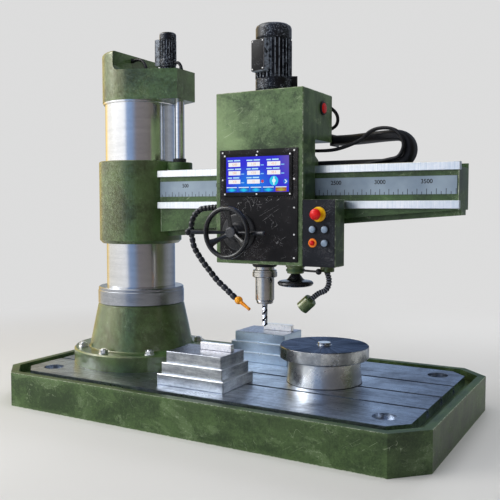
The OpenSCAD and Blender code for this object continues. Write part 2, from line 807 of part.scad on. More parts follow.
module screw_nut() {
    color([0.1, 0.1, 0.1]) translate([screw_x, 0, 0])
        turned([[screw_r + run, nut_z - nut_depth], [nut_r, nut_z - nut_depth], [nut_r, nut_z],
            [nut_r, nut_z + nut_h - 3], [nut_r - 3, nut_z + nut_h], [screw_r + run, nut_z + nut_h]]);
}

module conduit_clamp() {
    x0 = col_x + 1112;
    color([0.12, 0.12, 0.13])
        soft_box(x0, x0 + 20 - seat, -channel_w + 23, channel_w - 2, channel_z,
            conduit_low + conduit_t + 8, 2);
}

// Loop of the conduit: out along the channel, round the bend and back to the head
function conduit_path() =
    let (turn_x = conduit_apex - conduit_bend, end_x = bracket_x + 8 + seat, straight = 2 * conduit_t)
    concat(
        [for (k = [0 : 3]) [conduit_in + (turn_x - conduit_in) * k / 4, conduit_y, conduit_low]],
        [for (a = [-90 : 22.5 : 90]) [turn_x + conduit_bend * cos(a), conduit_y,
            conduit_low + conduit_bend + conduit_bend * sin(a)]],
        [for (k = [1 : 6]) let (t = k / 6, w = t * t * (3 - 2 * t))
            [turn_x * (1 - t) + (end_x + straight) * t,
                conduit_y * (1 - w) + conduit_out_y * w, conduit_low + 2 * conduit_bend]],
        [[end_x + straight / 2, conduit_out_y, conduit_low + 2 * conduit_bend],
            [end_x, conduit_out_y, conduit_low + 2 * conduit_bend]]);

module energy_conduit() {
    path = conduit_path();
    color([0.05, 0.05, 0.07])
        sweep(path, [for (p = path) conduit_w], [for (p = path) conduit_t], 12);
}

// Pair of cables in front of the conduit, from the head's underside round the bend to the clamp
module twin_cables() {
    start = [hx + twin_start, twin_y, head_z + over_z - 2 * seat];
    turn = [conduit_apex - conduit_bend, twin_y, conduit_low + conduit_bend];
    floor_z = channel_z + twin_r + seat;
    points = [start, start + [0, 0, -10], start + [0, 0, -22], start + [16, 0, -44], start + [57, 0, -50],
        start + [189, 0, -48], start + [315, 0, -10], start + [379, 0, 35], start + [436, 0, 49],
        start + [499, 0, 39], turn + [42, 0, 60], turn + [55, 0, 10], turn + [30, 0, -38],
        turn + [-20, 0, -52], [turn[0] - 110, twin_y, floor_z + 24], [turn[0] - 240, twin_y, floor_z + 2],
        [turn[0] - 370, twin_y, floor_z + 1], [conduit_in + 2 * seat, twin_y, floor_z + 1]];
    path = route(points, 48);
    color([0.05, 0.05, 0.07]) for (y = [0, -2 * twin_r - seat])
        translate([0, y, 0])
            sweep(path, [for (p = path) twin_r], [for (p = path) twin_r], 8);
}

module head_housing() {
    room = 40;
    color("darkolivegreen") difference() {
        intersection() {
            translate([0, 0, head_z]) linear_extrude(head_h)
                polygon(cut(rect(hx, hx2, hf, over_back), edge));
            translate([0, over_back, 0]) rotate([90, 0, 0]) linear_extrude(head_front + over_back)
                polygon(cut(rect(hx, hx2, head_z, head_top), edge));
            rotate([90, 0, 90]) translate([0, 0, hx]) linear_extrude(head_w)
                polygon(cut([[hf, head_z], [hb, head_z], [hb, head_z + over_z],
                    [over_back, head_z + over_z], [over_back, head_top], [hf, head_top]], edge));
        }
        translate([hx + room, hf + room, head_z + over_z + room])
            cube([head_w - 2 * room, head_front + over_back - 2 * room, head_h - over_z - 2 * room]);
        translate([motor_x, motor_y, head_top - 2 * room]) cylinder(r = motor_r * 0.7, h = 3 * room);
        translate([sx, sy, head_z - eps]) cylinder(r = quill_r + run, h = quill_top - head_z + 12);
        to_front(wx, wz) {
            translate([0, 0, head_front - 60]) cylinder(r = sleeve_shaft_r + run, h = 60 + eps);
            translate([0, 0, head_front - 100]) cylinder(r = wheel_shaft_r + run, h = 100);
        }
        translate([fine_x, sy, head_z - eps]) cylinder(r = 12 + run, h = 30);
        translate([hx2 + eps, side_y, side_z]) rotate([0, -90, 0]) cylinder(r = 10 + run, h = 34);
    }
}

// Gibs that hold the head on both rails
module head_saddle() {
    x0 = hx + 6;
    x1 = hx2 - 6;
    hook_y = -channel_w + seat;
    color("darkolivegreen") rotate([90, 0, 90]) translate([0, 0, x0]) linear_extrude(x1 - x0) {
        polygon([[hb, beam_z + seat], [hook_y, beam_z + seat], [hook_y, channel_z + 5],
            [hook_y + 18, channel_z + 5], [hook_y + 18, beam_z + 30], [hb, beam_z + 60]]);
        polygon([[hb, lo_rail_z - seat], [-web_front - seat, lo_rail_z - seat],
            [-web_front - seat, lo_rail_z - 14], [hb, lo_rail_z - 26]]);
    }
}

module front_panel() {
    color([0.07, 0.07, 0.08]) difference() {
        soft_box(panel_x, panel_x2, panel_f, hf, panel_z, panel_z + panel_h, 1);
        to_front(wx, wz) translate([0, 0, head_front - eps]) cylinder(r = sleeve_shaft_r + 1.5, h = 20);
    }
}

// Domed screw head that stands h proud
module screw_head(r, h) {
    turned([[0, -seat], [r, -seat], [r, h * 0.4], [r * 0.7, h * 0.85], [0, h]]);
}

module panel_screws() {
    left = panel_x + 18;
    right = panel_x2 - 19;
    top = panel_z + panel_h - 13;
    margin = 11.5;
    color("white") {
        for (x = [left, (left + right) / 2, right])
            to_front(x, top) translate([0, 0, head_front + panel_t + seat]) screw_head(screw_head_r, 3);
        for (x = [left, right], z = [22, 139, 275, 418])
            to_front(x, panel_z + z)
                translate([0, 0, head_front + panel_t + seat]) screw_head(screw_head_r, 3);
        for (x = [bezel_x + margin, bezel_x + bezel_w / 2, bezel_x + bezel_w - margin],
             z = [bezel_z + margin, bezel_z + bezel_h - margin])
            to_front(x, z)
                translate([0, 0, head_front + panel_t + bezel_t + seat]) screw_head(screw_head_r, 3);
    }
}

module screen_bezel() {
    color([0.06, 0.06, 0.07]) difference() {
        soft_box(bezel_x, bezel_x + bezel_w, panel_f - bezel_t, panel_f, bezel_z, bezel_z + bezel_h, 2);
        translate([screen_x, panel_f - bezel_t - eps, screen_z])
            cube([screen_w, bezel_t + 2 * eps, screen_h]);
    }
}

module screen() {
    color("royalblue")
        translate([screen_x + seat, panel_f - bezel_t + 3, screen_z + seat])
            cube([screen_w - 2 * seat, bezel_t - 3, screen_h - 2 * seat]);
}

module control_box() {
    color("darkolivegreen") difference() {
        soft_box(hx2, hx2 + box_w, hf, hf + box_d, head_z - 1, head_z - 1 + box_h, edge);
        button_holes(36);
        translate([lamp_x, lamp_y, head_z - 1 - eps]) cylinder(r = 10 + run, h = 22);
    }
}

// Holes for the stems of the front buttons, to the given depth
module button_holes(depth) {
    for (x = button_x, z = button_z)
        to_front(x, z) translate([0, 0, head_front - depth]) cylinder(r = 6 + run, h = depth + 10);
    to_front(stop_x, stop_z) translate([0, 0, head_front - depth]) cylinder(r = 11 + run, h = depth + 10);
}

module control_panel() {
    color([0.08, 0.08, 0.1]) difference() {
        soft_box(hx2 + 1, hx2 + box_w - 1, box_f, hf, head_z, head_z - 2 + box_h, 1);
        button_holes(10);
    }
}

module e_stop_collar() {
    color("gold") to_front(stop_x, stop_z) translate([0, 0, head_front + 4]) difference() {
        turned([[0, 0], [37, 0], [37, 7], [32, 12], [0, 12]]);
        translate([0, 0, -eps]) cylinder(r = 11 + run, h = 20);
    }
}

// Ring whose hole lets a button of radius r pass
module button_ring(r, wide, h) {
    difference() {
        turned([[0, 0], [r + wide, 0], [r + wide, h * 0.6], [r + wide * 0.6, h], [0, h]]);
        translate([0, 0, -eps]) cylinder(r = r + seat, h = h + 2 * eps);
    }
}

module button_rings() {
    color([0.1, 0.1, 0.1]) {
        for (i = [0, 1], k = [0, 1])
            if (i + k > 0)
                to_front(button_x[i], button_z[k]) translate([0, 0, head_front + 4]) button_ring(17, 4, 6);
        translate([hx2, side_y, side_z]) rotate([0, 90, 0]) button_ring(side_r, 9.5, 9);
    }
    color("orange") to_front(button_x[0], button_z[0])
        translate([0, 0, head_front + 4]) button_ring(13, 9, 6);
}

// Domed push button of radius r on a stem
module push_button(r, h, stem_r, stem_h) {
    turned([[0, -stem_h], [stem_r, -stem_h], [stem_r, 5], [r, 5], [r, h * 0.55], [r * 0.92, h * 0.76],
        [r * 0.72, h * 0.9], [r * 0.4, h * 0.98], [0, h]]);
}

module front_button(i, k, r) {
    to_front(button_x[i], button_z[k]) translate([0, 0, head_front + 4])
        push_button(r, 17, 6, 24);
}

module start_button() {
    color("lightsteelblue") front_button(0, 1, 17);
}

module jog_button() {
    color("lightsteelblue") front_button(1, 1, 17);
}

module reset_button() {
    color("lightsteelblue") front_button(1, 0, 17);
}

module stop_button() {
    color("red") front_button(0, 0, 13);
}

module e_stop_button() {
    color("red") to_front(stop_x, stop_z) translate([0, 0, head_front + 4])
        turned([[0, -24], [11, -24], [11, stop_rise - 30], [23, stop_rise - 28],
            [28, stop_rise - 21], [28, stop_rise - 15], [25, stop_rise - 8], [17, stop_rise - 2.5],
            [7, stop_rise], [0, stop_rise]]);
}

module side_button() {
    color("red") translate([hx2, side_y, side_z]) rotate([0, 90, 0]) push_button(side_r, 16, 10, 26);
}

module main_motor() {
    color([0.08, 0.08, 0.1]) translate([motor_x, motor_y, head_top]) {
        rotate([0, 0, motor_turn]) motor(motor_r, motor_h, motor_r + 26, 28, motor_h * 0.29, motor_h * 0.74);
        rotate([0, 0, 30]) soft_box(motor_r * 0.85, motor_r * 1.27, -22, 22, 0, 50, 2);
    }
}

module motor_cowl() {
    color([0.06, 0.06, 0.08]) translate([motor_x, motor_y, head_top])
        cowl(motor_r, motor_h, motor_h * 0.78);
}

module spindle_seal() {
    color([0.05, 0.05, 0.05]) translate([sx, sy, 0])
        turned([[quill_r + run, head_z - seal_h], [collar_r - 6, head_z - seal_h],
            [collar_r + 0.5, head_z - seal_h + 7], [collar_r + 0.5, head_z], [quill_r + run, head_z]]);
}

module fine_feed_boss() {
    color("darkolivegreen") translate([fine_x, sy, head_z - boss_h]) difference() {
        turned([[0, 0], [boss_r - 2, 0], [boss_r, 2], [boss_r, boss_h - 14], [boss_r + 6, boss_h - 12],
            [boss_r + 6, boss_h], [0, boss_h]]);
        translate([0, 0, -eps]) cylinder(r = 12 + run, h = boss_h + 2 * eps);
    }
}

module fine_feed_wheel() {
    color([0.05, 0.05, 0.06]) translate([fine_x, sy, 0]) {
        turned([[0, fine_z - 33], [fine_r * 0.5, fine_z - 34], [fine_r * 0.8, fine_z - 32],
            [fine_r * 0.94, fine_z - 27], [fine_r, fine_z - 18], [fine_r * 0.98, fine_z - 11],
            [fine_r * 0.9, fine_z - 5], [fine_r * 0.75, fine_z - 2], [fine_r * 0.52, fine_z],
            [fine_r * 0.42, fine_z + 8], [fine_r * 0.25, fine_z + 30],
            [fine_r * 0.24, head_z - boss_h - seat], [0, head_z - boss_h - seat]]);
        translate([0, 0, fine_z]) cylinder(r = 12, h = head_z + 26 - fine_z);
    }
}

module clutch_lever() {
    ring_h = 12;
    color([0.06, 0.06, 0.06]) translate([fine_x, sy, clutch_z]) {
        translate([0, 0, -ring_h / 2]) difference() {
            cylinder(r = boss_r + 5, h = ring_h);
            translate([0, 0, -eps]) cylinder(r = boss_r + run, h = ring_h + 2 * eps);
        }
        rotate([0, 90, clutch_turn]) {
            translate([0, 0, boss_r + 2]) cylinder(r = 5.5, h = clutch_len - boss_r - 8);
            translate([0, 0, clutch_len]) sphere(r = 15.5);
        }
    }
}

module lamp_boss() {
    color("darkolivegreen") translate([lamp_x, lamp_y, lamp_z]) difference() {
        turned([[0, 0], [lamp_boss_r - 3, 0], [lamp_boss_r, 3], [lamp_boss_r, 30], [0, 30]]);
        translate([0, 0, -eps]) cylinder(r = 10 + run, h = 32);
    }
}

module lamp_arm() {
    path = route(lamp_points, 2 * neck_ribs);
    radii = [for (i = [0 : len(path) - 1]) i % 2 == 0 ? neck_groove_r : neck_r];
    color([0.05, 0.05, 0.06]) {
        translate([lamp_x, lamp_y, lamp_z]) {
            translate([0, 0, -8]) cylinder(r = 10, h = 54);
            turned([[0, -9], [neck_r - 1.5, -9], [neck_r + 1, -7], [neck_r + 1, -seat], [0, -seat]]);
        }
        sweep(path, radii, radii, 8);
    }
}

// Places what is drawn along +Z so that it runs along the lamp's axis, from its back
module lamp_axis() {
    translate(shade_back) rotate([0, 180 + shade_tilt, 0]) children();
}

module lamp_shade() {
    r = shade_r;
    color("darkgreen") lamp_axis()
        turned([[0, seat], [14, seat], [16, 4], [r - 6, 4], [r - 2, 7], [r, 13], [r, shade_h],
            [r - shade_wall, shade_h], [r - shade_wall, 16], [r - 8, 10], [0, 10]]);
}

module lamp_bulb() {
    color("lightyellow") lamp_axis()
        turned([[0, 10], [13, 10], [13, 26], [18, 36], [20, 46], [17, 56], [9, 62], [0, 64]]);
}

module coolant_hose() {
    color([0.06, 0.06, 0.08]) {
        ribbed_hose(hose_points, hose_ribs, hose_r, hose_groove_r, hose_bore_r, hose_sides);
    }
}

// Ball and tapered tube of the coolant nozzle, bored through
module coolant_nozzle() {
    aim = nozzle_tip - nozzle;
    len_n = norm(aim);
    color("orange") translate(nozzle) rotate([0, acos(aim[2] / len_n), atan2(aim[1], aim[0])])
        difference() {
            union() {
                sphere(r = ball_r);
                cylinder(r1 = 12, r2 = 7, h = len_n - 4);
                translate([0, 0, len_n - 8]) cylinder(r1 = 8.5, r2 = 8, h = 8);
            }
            translate([0, 0, -ball_r - eps]) cylinder(r = 4.5, h = len_n + ball_r + 2 * eps);
        }
}

module conduit_bracket() {
    top = conduit_low + 2 * conduit_bend;
    color([0.12, 0.12, 0.13]) {
        translate([bracket_x - 70, over_back, top - 12]) cube([78, 8, 34]);
        translate([bracket_x, over_back, top - conduit_t - 4])
            cube([8, conduit_out_y + conduit_w - over_back + 6, 2 * conduit_t + 8]);
    }
}

module cable_loop() {
    top = [hx + 440, over_back + 2 * seat, head_z + 846];
    low = [hx + 440, over_back + 2 * seat, head_z + 708];
    path = route([top, top + [0, 8, 0], top + [2, 18, 0], top + [30, 27, -4], top + [74, 28, -40],
        [hx + 528, over_back + 28, head_z + 768], low + [76, 28, 26], low + [34, 27, 4],
        low + [2, 18, 0], low + [0, 8, 0], low], 30);
    radii = [for (p = path) cable_r];
    color([0.05, 0.05, 0.05]) sweep(path, radii, radii, 8, [1, -1, 0]);
}

module capstan_hub() {
    color([0.12, 0.12, 0.13]) to_front(wx, wz) difference() {
        union() {
            turned([[0, dial_f], [dial_r - 5, dial_f], [dial_r, dial_f + 3], [dial_r, dial_f + 10],
                [dial_r - 6, dial_f + 14], [54, dial_f + 17], [46, dial_f + 27],
                [40, dial_f + 32], [40, hub_f - 4], [36, hub_f], [0, hub_f]]);
            translate([0, 0, head_front - 58]) cylinder(r = sleeve_shaft_r, h = 80);
        }
        translate([0, 0, head_front - 60]) cylinder(r = wheel_shaft_r + run, h = 160);
        for (a = [0, 180]) rotate([0, 0, a]) translate([0, 0, lever_plane])
            rotate([0, 90 - lever_tilt, 0]) translate([0, 0, 28]) cylinder(r = 8.5, h = 30);
    }
}

// Two opposite levers, leaning forward: one with a ball, one with a plain grip
module capstan_levers() {
    color("dimgray") to_front(wx, wz) for (a = [0, 180])
        rotate([0, 0, a]) translate([0, 0, lever_plane]) rotate([0, 90 - lever_tilt, 0]) {
            grip = a == 180 ? lever_len - 10 : lever_len - 16;
            translate([0, 0, 28]) cylinder(r1 = 8, r2 = 12, h = grip - 28);
            translate([0, 0, grip]) cylinder(r1 = 12, r2 = 8, h = 7);
            if (a == 180)
                translate([0, 0, lever_len + 8]) sphere(r = 17.5);
        }
}

module traverse_handwheel() {
    rim_r = wheel_r - wheel_tube_r;
    hub_r = 29.5;
    hub_front = head_front + 103;
    color([0.1, 0.1, 0.11]) to_front(wx, wz) {
        turned([for (a = [15 : 30 : 345])
            [rim_r + wheel_tube_r * cos(a) / cos(15), wheel_plane + wheel_tube_d * sin(a) / cos(15)]]);
        turned([[0, hub_f + seat], [hub_r, hub_f + seat], [hub_r, hub_front - 6], [hub_r - 5, hub_front],
            [0, hub_front]]);
        translate([0, 0, head_front - 98]) cylinder(r = wheel_shaft_r, h = 190);
        for (a = [90, 210, 330]) rotate([0, 0, a]) hull() {
            translate([16, 0, hub_f + 9]) scale([1, 2, 0.9]) sphere(r = 8, $fn = 16);
            translate([rim_r * 0.6, 0, wheel_plane - 17]) scale([1, 1.9, 0.7]) sphere(r = 8, $fn = 16);
            translate([rim_r - 4, 0, wheel_plane]) scale([0.5, 3, 0.8]) sphere(r = 9, $fn = 16);
        }
    }
}

module quill() {
    color("gainsboro") translate([sx, sy, 0])
        turned([[shaft_r + run, collar_z], [collar_r - 4, collar_z], [collar_r, collar_z + 4],
            [collar_r, collar_z + 26], [collar_r - 3, collar_z + 28], [collar_r - 3, neck_z - 3],
            [collar_r - 6, neck_z], [quill_r, neck_z], [quill_r, quill_top], [shaft_r + run, quill_top]]);
}

module spindle_nose() {
    nose_r = quill_r - 0.5;
    color("gainsboro") translate([sx, sy, 0])
        turned([[drill_r + run, nose_z], [nose_r - 9, nose_z], [nose_r - 6, nose_z + 4],
            [nose_r - 6, nose_z + 9], [nose_r, nose_z + 21], [nose_r, collar_z - seat],
            [shaft_r, collar_z - seat], [shaft_r, quill_top], [0, quill_top], [0, nose_z + drill_depth],
            [drill_r + run, nose_z + drill_depth]]);
}

// Radius of the drill's section at angle a: two lands and two flutes
function land(a) = drill_r * 0.985 * (0.34 + 0.66 * min(1, 1.9 * abs(cos(a))));

// Twist drill: two flutes ending in a point, and a plain shank inside the nose
module drill_bit() {
    sides = 20;
    rings = 26;
    point_h = drill_r * 0.6;
    tip_z = nose_z - drill_len;
    flute_h = drill_len - 8;
    lead = 5;
    color("lightslategray") translate([sx, sy, 0]) {
        polyhedron(
            points = [for (i = [0 : rings]) let (
                    h = i == 0 ? 0 : point_h + (flute_h - point_h) * (i - 1) / (rings - 1),
                    k = i == 0 ? 0.06 : 1)
                for (j = [0 : sides - 1]) let (a = 360 * j / sides, r = k * land(a))
                    [r * cos(a + lead * h), r * sin(a + lead * h), tip_z + h]],
            faces = concat(wall_faces(rings + 1, sides, 0),
                [for (j = [1 : sides - 2]) [0, j, j + 1]],
                [for (j = [0 : sides / 2 - 2]) each let (o = rings * sides, e = o + sides - 1)
                    [[o + j, e - j, o + j + 1], [o + j + 1, e - j, e - j - 1]]]));
        translate([0, 0, nose_z - 12]) cylinder(r = drill_r, h = drill_depth + 11);
    }
}

base_casting();
table_plate();
column_foot();
foot_bolts();
clamp_ring();
inner_pillar();
pillar_bearings();
step_blocks();
round_table_base();
round_table_top();
column_tube();
cap_lip();
column_cap();
elevating_motor();
cap_cables();
elevating_screw();
arm_sleeve();
arm_beam();
guide_rails();
ruler_plate();
screw_nut();
conduit_clamp();
energy_conduit();
twin_cables();
head_housing();
head_saddle();
front_panel();
panel_screws();
screen_bezel();
screen();
control_box();
control_panel();
e_stop_collar();
button_rings();
main_motor();
motor_cowl();
spindle_seal();
fine_feed_boss();
lamp_boss();
coolant_hose();
conduit_bracket();
cable_loop();
capstan_hub();
capstan_levers();
traverse_handwheel();
quill();
spindle_nose();
drill_bit();
fine_feed_wheel();
clutch_lever();
start_button();
jog_button();
reset_button();
stop_button();
e_stop_button();
side_button();
lamp_arm();
lamp_shade();
lamp_bulb();
coolant_nozzle();
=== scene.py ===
# %% [markdown]
# A radial arm drill stands on a ribbed base. Its column swings, an arm climbs the column on a
# screw, and a drill head travels along the arm. The solid parts come from the packed CAD model;
# this lesson gives them their paint and metal, and adds what is finer than a solid: ribbed
# hoses, the display, the ruler's marks, grips and small fittings.

import json
import math

import bmesh
import bpy
from mathutils import Matrix, Vector
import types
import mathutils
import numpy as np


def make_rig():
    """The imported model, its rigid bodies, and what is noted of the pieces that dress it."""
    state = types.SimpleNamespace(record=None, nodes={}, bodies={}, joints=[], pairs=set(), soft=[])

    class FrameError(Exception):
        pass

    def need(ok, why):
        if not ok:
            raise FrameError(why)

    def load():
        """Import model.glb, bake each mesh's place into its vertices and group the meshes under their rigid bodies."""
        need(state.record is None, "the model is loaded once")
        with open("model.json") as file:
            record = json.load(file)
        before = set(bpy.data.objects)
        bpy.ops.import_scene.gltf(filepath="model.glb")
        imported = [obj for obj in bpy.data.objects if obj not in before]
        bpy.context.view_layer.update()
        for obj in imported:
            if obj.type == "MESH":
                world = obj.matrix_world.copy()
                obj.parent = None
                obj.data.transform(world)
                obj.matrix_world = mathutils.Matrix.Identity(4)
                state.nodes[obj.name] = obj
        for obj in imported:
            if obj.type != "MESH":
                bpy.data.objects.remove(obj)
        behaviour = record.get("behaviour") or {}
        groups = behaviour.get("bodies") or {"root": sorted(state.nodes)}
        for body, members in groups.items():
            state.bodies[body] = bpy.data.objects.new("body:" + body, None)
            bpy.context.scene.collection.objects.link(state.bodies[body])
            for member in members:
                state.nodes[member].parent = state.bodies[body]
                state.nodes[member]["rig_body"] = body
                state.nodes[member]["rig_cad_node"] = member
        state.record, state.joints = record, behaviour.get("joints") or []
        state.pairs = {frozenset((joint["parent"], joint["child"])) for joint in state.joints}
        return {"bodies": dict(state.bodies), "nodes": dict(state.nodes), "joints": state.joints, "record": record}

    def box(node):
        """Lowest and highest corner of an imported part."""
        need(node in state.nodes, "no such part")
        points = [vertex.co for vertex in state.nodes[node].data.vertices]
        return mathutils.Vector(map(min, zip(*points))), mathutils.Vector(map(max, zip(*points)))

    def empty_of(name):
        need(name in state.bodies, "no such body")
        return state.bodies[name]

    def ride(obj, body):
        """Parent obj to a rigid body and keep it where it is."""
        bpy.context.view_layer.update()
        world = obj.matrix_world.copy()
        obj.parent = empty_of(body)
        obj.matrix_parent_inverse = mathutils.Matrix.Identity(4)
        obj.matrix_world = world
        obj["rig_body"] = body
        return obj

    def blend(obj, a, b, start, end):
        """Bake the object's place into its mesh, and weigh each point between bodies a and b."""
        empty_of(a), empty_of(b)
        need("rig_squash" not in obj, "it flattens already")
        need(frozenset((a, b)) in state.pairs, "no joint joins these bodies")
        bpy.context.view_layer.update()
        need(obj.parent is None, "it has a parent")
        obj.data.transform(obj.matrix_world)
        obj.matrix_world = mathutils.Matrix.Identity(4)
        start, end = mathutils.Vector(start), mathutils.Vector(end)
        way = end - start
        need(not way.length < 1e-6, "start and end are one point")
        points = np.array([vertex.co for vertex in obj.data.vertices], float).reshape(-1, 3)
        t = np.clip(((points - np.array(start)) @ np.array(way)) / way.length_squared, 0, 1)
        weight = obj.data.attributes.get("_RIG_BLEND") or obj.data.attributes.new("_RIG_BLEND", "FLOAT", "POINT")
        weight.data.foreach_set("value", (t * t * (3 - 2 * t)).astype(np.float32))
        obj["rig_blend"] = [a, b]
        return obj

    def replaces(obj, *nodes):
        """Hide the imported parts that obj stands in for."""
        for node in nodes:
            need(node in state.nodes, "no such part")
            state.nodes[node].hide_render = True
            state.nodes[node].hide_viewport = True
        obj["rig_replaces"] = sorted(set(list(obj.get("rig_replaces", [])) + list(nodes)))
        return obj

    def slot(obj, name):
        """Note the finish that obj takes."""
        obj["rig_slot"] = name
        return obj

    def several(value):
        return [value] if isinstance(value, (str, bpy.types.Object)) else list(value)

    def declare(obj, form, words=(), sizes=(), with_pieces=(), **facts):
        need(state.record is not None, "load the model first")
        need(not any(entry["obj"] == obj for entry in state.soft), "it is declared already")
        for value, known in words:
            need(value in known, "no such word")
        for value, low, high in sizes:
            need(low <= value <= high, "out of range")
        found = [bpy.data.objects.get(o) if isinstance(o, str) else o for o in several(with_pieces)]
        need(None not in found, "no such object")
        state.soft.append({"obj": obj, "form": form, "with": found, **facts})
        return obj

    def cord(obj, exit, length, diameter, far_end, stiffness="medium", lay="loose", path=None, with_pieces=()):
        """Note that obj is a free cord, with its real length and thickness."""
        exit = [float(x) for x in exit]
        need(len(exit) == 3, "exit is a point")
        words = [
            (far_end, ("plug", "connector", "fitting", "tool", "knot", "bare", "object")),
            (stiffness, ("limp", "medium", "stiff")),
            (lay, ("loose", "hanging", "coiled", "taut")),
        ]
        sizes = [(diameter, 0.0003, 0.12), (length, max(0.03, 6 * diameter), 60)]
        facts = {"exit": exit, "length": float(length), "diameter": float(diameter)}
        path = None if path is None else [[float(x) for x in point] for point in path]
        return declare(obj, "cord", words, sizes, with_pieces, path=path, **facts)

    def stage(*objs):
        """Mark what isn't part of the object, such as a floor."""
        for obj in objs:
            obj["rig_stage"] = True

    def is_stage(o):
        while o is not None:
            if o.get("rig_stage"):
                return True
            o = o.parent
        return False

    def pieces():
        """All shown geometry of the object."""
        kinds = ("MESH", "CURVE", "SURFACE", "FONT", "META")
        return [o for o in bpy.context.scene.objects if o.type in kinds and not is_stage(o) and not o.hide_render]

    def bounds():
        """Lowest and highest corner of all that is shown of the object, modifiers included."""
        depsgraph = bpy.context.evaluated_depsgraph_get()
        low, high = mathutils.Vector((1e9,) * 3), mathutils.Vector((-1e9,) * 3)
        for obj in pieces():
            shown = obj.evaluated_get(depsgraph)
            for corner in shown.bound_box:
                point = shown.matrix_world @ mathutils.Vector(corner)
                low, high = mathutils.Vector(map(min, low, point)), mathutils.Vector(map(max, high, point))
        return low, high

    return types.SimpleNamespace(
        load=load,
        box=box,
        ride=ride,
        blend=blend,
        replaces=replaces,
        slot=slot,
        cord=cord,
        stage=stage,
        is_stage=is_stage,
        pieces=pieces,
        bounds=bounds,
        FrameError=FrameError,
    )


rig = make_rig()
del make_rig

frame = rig.load()
cad = frame["nodes"]
cad_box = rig.bounds()
MM = 0.001
print("CAD box", [[round(v, 3) for v in corner] for corner in cad_box])

# %% [markdown]
# The camera stands where the photographer stood: a little above the table's height, in front
# and to the right, looking slightly down. The lens is worked out from the picture's width in
# pixels, so that one pixel covers the same angle as in the photograph.

# %% Camera
PICTURE, FOCAL, SENSOR = 500, 706.08, 36  # picture's width and focal length in pixels, film in mm
STAND, YAW, PITCH = (2.02105, -3.4492, 1.1160), -0.517, -0.059
scene = bpy.context.scene


def place_camera():
    """A camera at STAND that looks ahead, turned by YAW and PITCH in radians."""
    ahead = Vector((math.cos(PITCH) * math.sin(YAW), math.cos(PITCH) * math.cos(YAW), math.sin(PITCH)))
    right = ahead.cross(Vector((0, 0, 1))).normalized()
    turn = Matrix((right, right.cross(ahead), -ahead)).transposed().to_4x4()
    lens = bpy.data.cameras.new("photo_lens")
    lens.sensor_width = SENSOR
    lens.lens = SENSOR * FOCAL / PICTURE
    camera = bpy.data.objects.new("photo_camera", lens)
    camera.matrix_world = Matrix.Translation(STAND) @ turn
    scene.collection.objects.link(camera)
    bpy.context.scene.camera = camera
    return camera


camera = place_camera()
print("lens", round(camera.data.lens, 1), "mm")

# %% [markdown]
# Six soft panels light the paint: a warm white key at the left, a faint golden one behind it,
# and weaker ones in front, at the right, above and behind. They stay out of reflections, where
# their hard outlines would cut the plated column into stripes. What metal mirrors comes next.

# %% Lamps
def lamp(name, place, aim, size, power, colour):
    """A soft panel at a place, facing aim; size is its width and height, power is in watts."""
    data = bpy.data.lights.new(name, "AREA")
    data.shape = "RECTANGLE"
    data.size, data.size_y = size
    data.energy = power
    data.color = colour
    made = bpy.data.objects.new(name, data)
    made.location = place
    made.rotation_euler = (Vector(aim) - Vector(place)).to_track_quat("-Z", "Y").to_euler()
    made.visible_glossy = False
    scene.collection.objects.link(made)


lamp("key_panel", (-3.9, -4.0, 2.7), (-0.2, 0, 0.9), (3.0, 4.0), 225, (1.0, 0.97, 0.91))
lamp("warm_panel", (-5.6, 0.2, 2.0), (-0.6, 0, 1.0), (2.2, 4.0), 26, (1.0, 0.7, 0.22))
lamp("front_panel", (-0.5, -5.8, 2.4), (-0.3, 0, 0.9), (3.0, 2.4), 46, (0.86, 0.93, 1.0))
lamp("side_panel", (5.4, -1.6, 2.4), (0.3, 0, 0.9), (2.4, 2.4), 13, (0.95, 0.98, 1.0))
lamp("top_panel", (0.2, -0.4, 5.4), (0.0, 0, 0), (4.0, 3.0), 95, (1.0, 1.0, 1.0))
lamp("back_panel", (1.0, 5.2, 3.0), (0, 0, 1.0), (3.0, 2.4), 120, (0.95, 0.97, 1.0))
scene.view_settings.view_transform = "Standard"
print("lamps", [light.name for light in bpy.data.lights])

# %% [markdown]
# A mirror-bright column needs something to mirror. The camera sees one even pale room, while
# reflections see the same room with its walls in soft sectors round the compass: white, a cool
# window, a dim corner behind the camera, and pale again. A picture of a room would do too, but
# a ramp over the compass angle needs no file, and each sector can be moved by itself.

# %% Walls round the compass
WALLS = (  # compass angle in degrees, colour
    (-179, (1.2, 1.16, 1.06)), (-112, (1.2, 1.2, 1.2)), (-104, (1.05, 1.08, 1.14)),
    (-96, (0.30, 0.42, 0.66)), (-80, (0.24, 0.35, 0.56)), (-64, (0.22, 0.20, 0.21)),
    (-30, (0.19, 0.175, 0.17)), (-4, (0.14, 0.12, 0.10)), (8, (0.10, 0.11, 0.05)),
    (24, (0.10, 0.11, 0.07)), (40, (0.20, 0.21, 0.22)), (58, (0.30, 0.32, 0.35)),
    (88, (0.22, 0.26, 0.34)), (104, (0.16, 0.22, 0.34)), (111, (0.34, 0.44, 0.60)),
    (117, (0.62, 0.76, 0.98)), (123, (0.50, 0.58, 0.72)), (134, (0.40, 0.42, 0.38)),
    (150, (1.1, 0.76, 0.22)), (166, (1.4, 1.06, 0.52)), (179, (1.2, 1.16, 1.06)))


def room_node(tree, kind, settings, *values):
    """One node of the room, its sockets filled in their order with numbers or links."""
    made = tree.nodes.new(kind)
    for name, value in settings.items():
        setattr(made, name, value)
    for slot, value in enumerate(values):
        if isinstance(value, bpy.types.NodeSocket):
            tree.links.new(value, made.inputs[slot])
        elif value is not None:
            made.inputs[slot].default_value = value
    return made


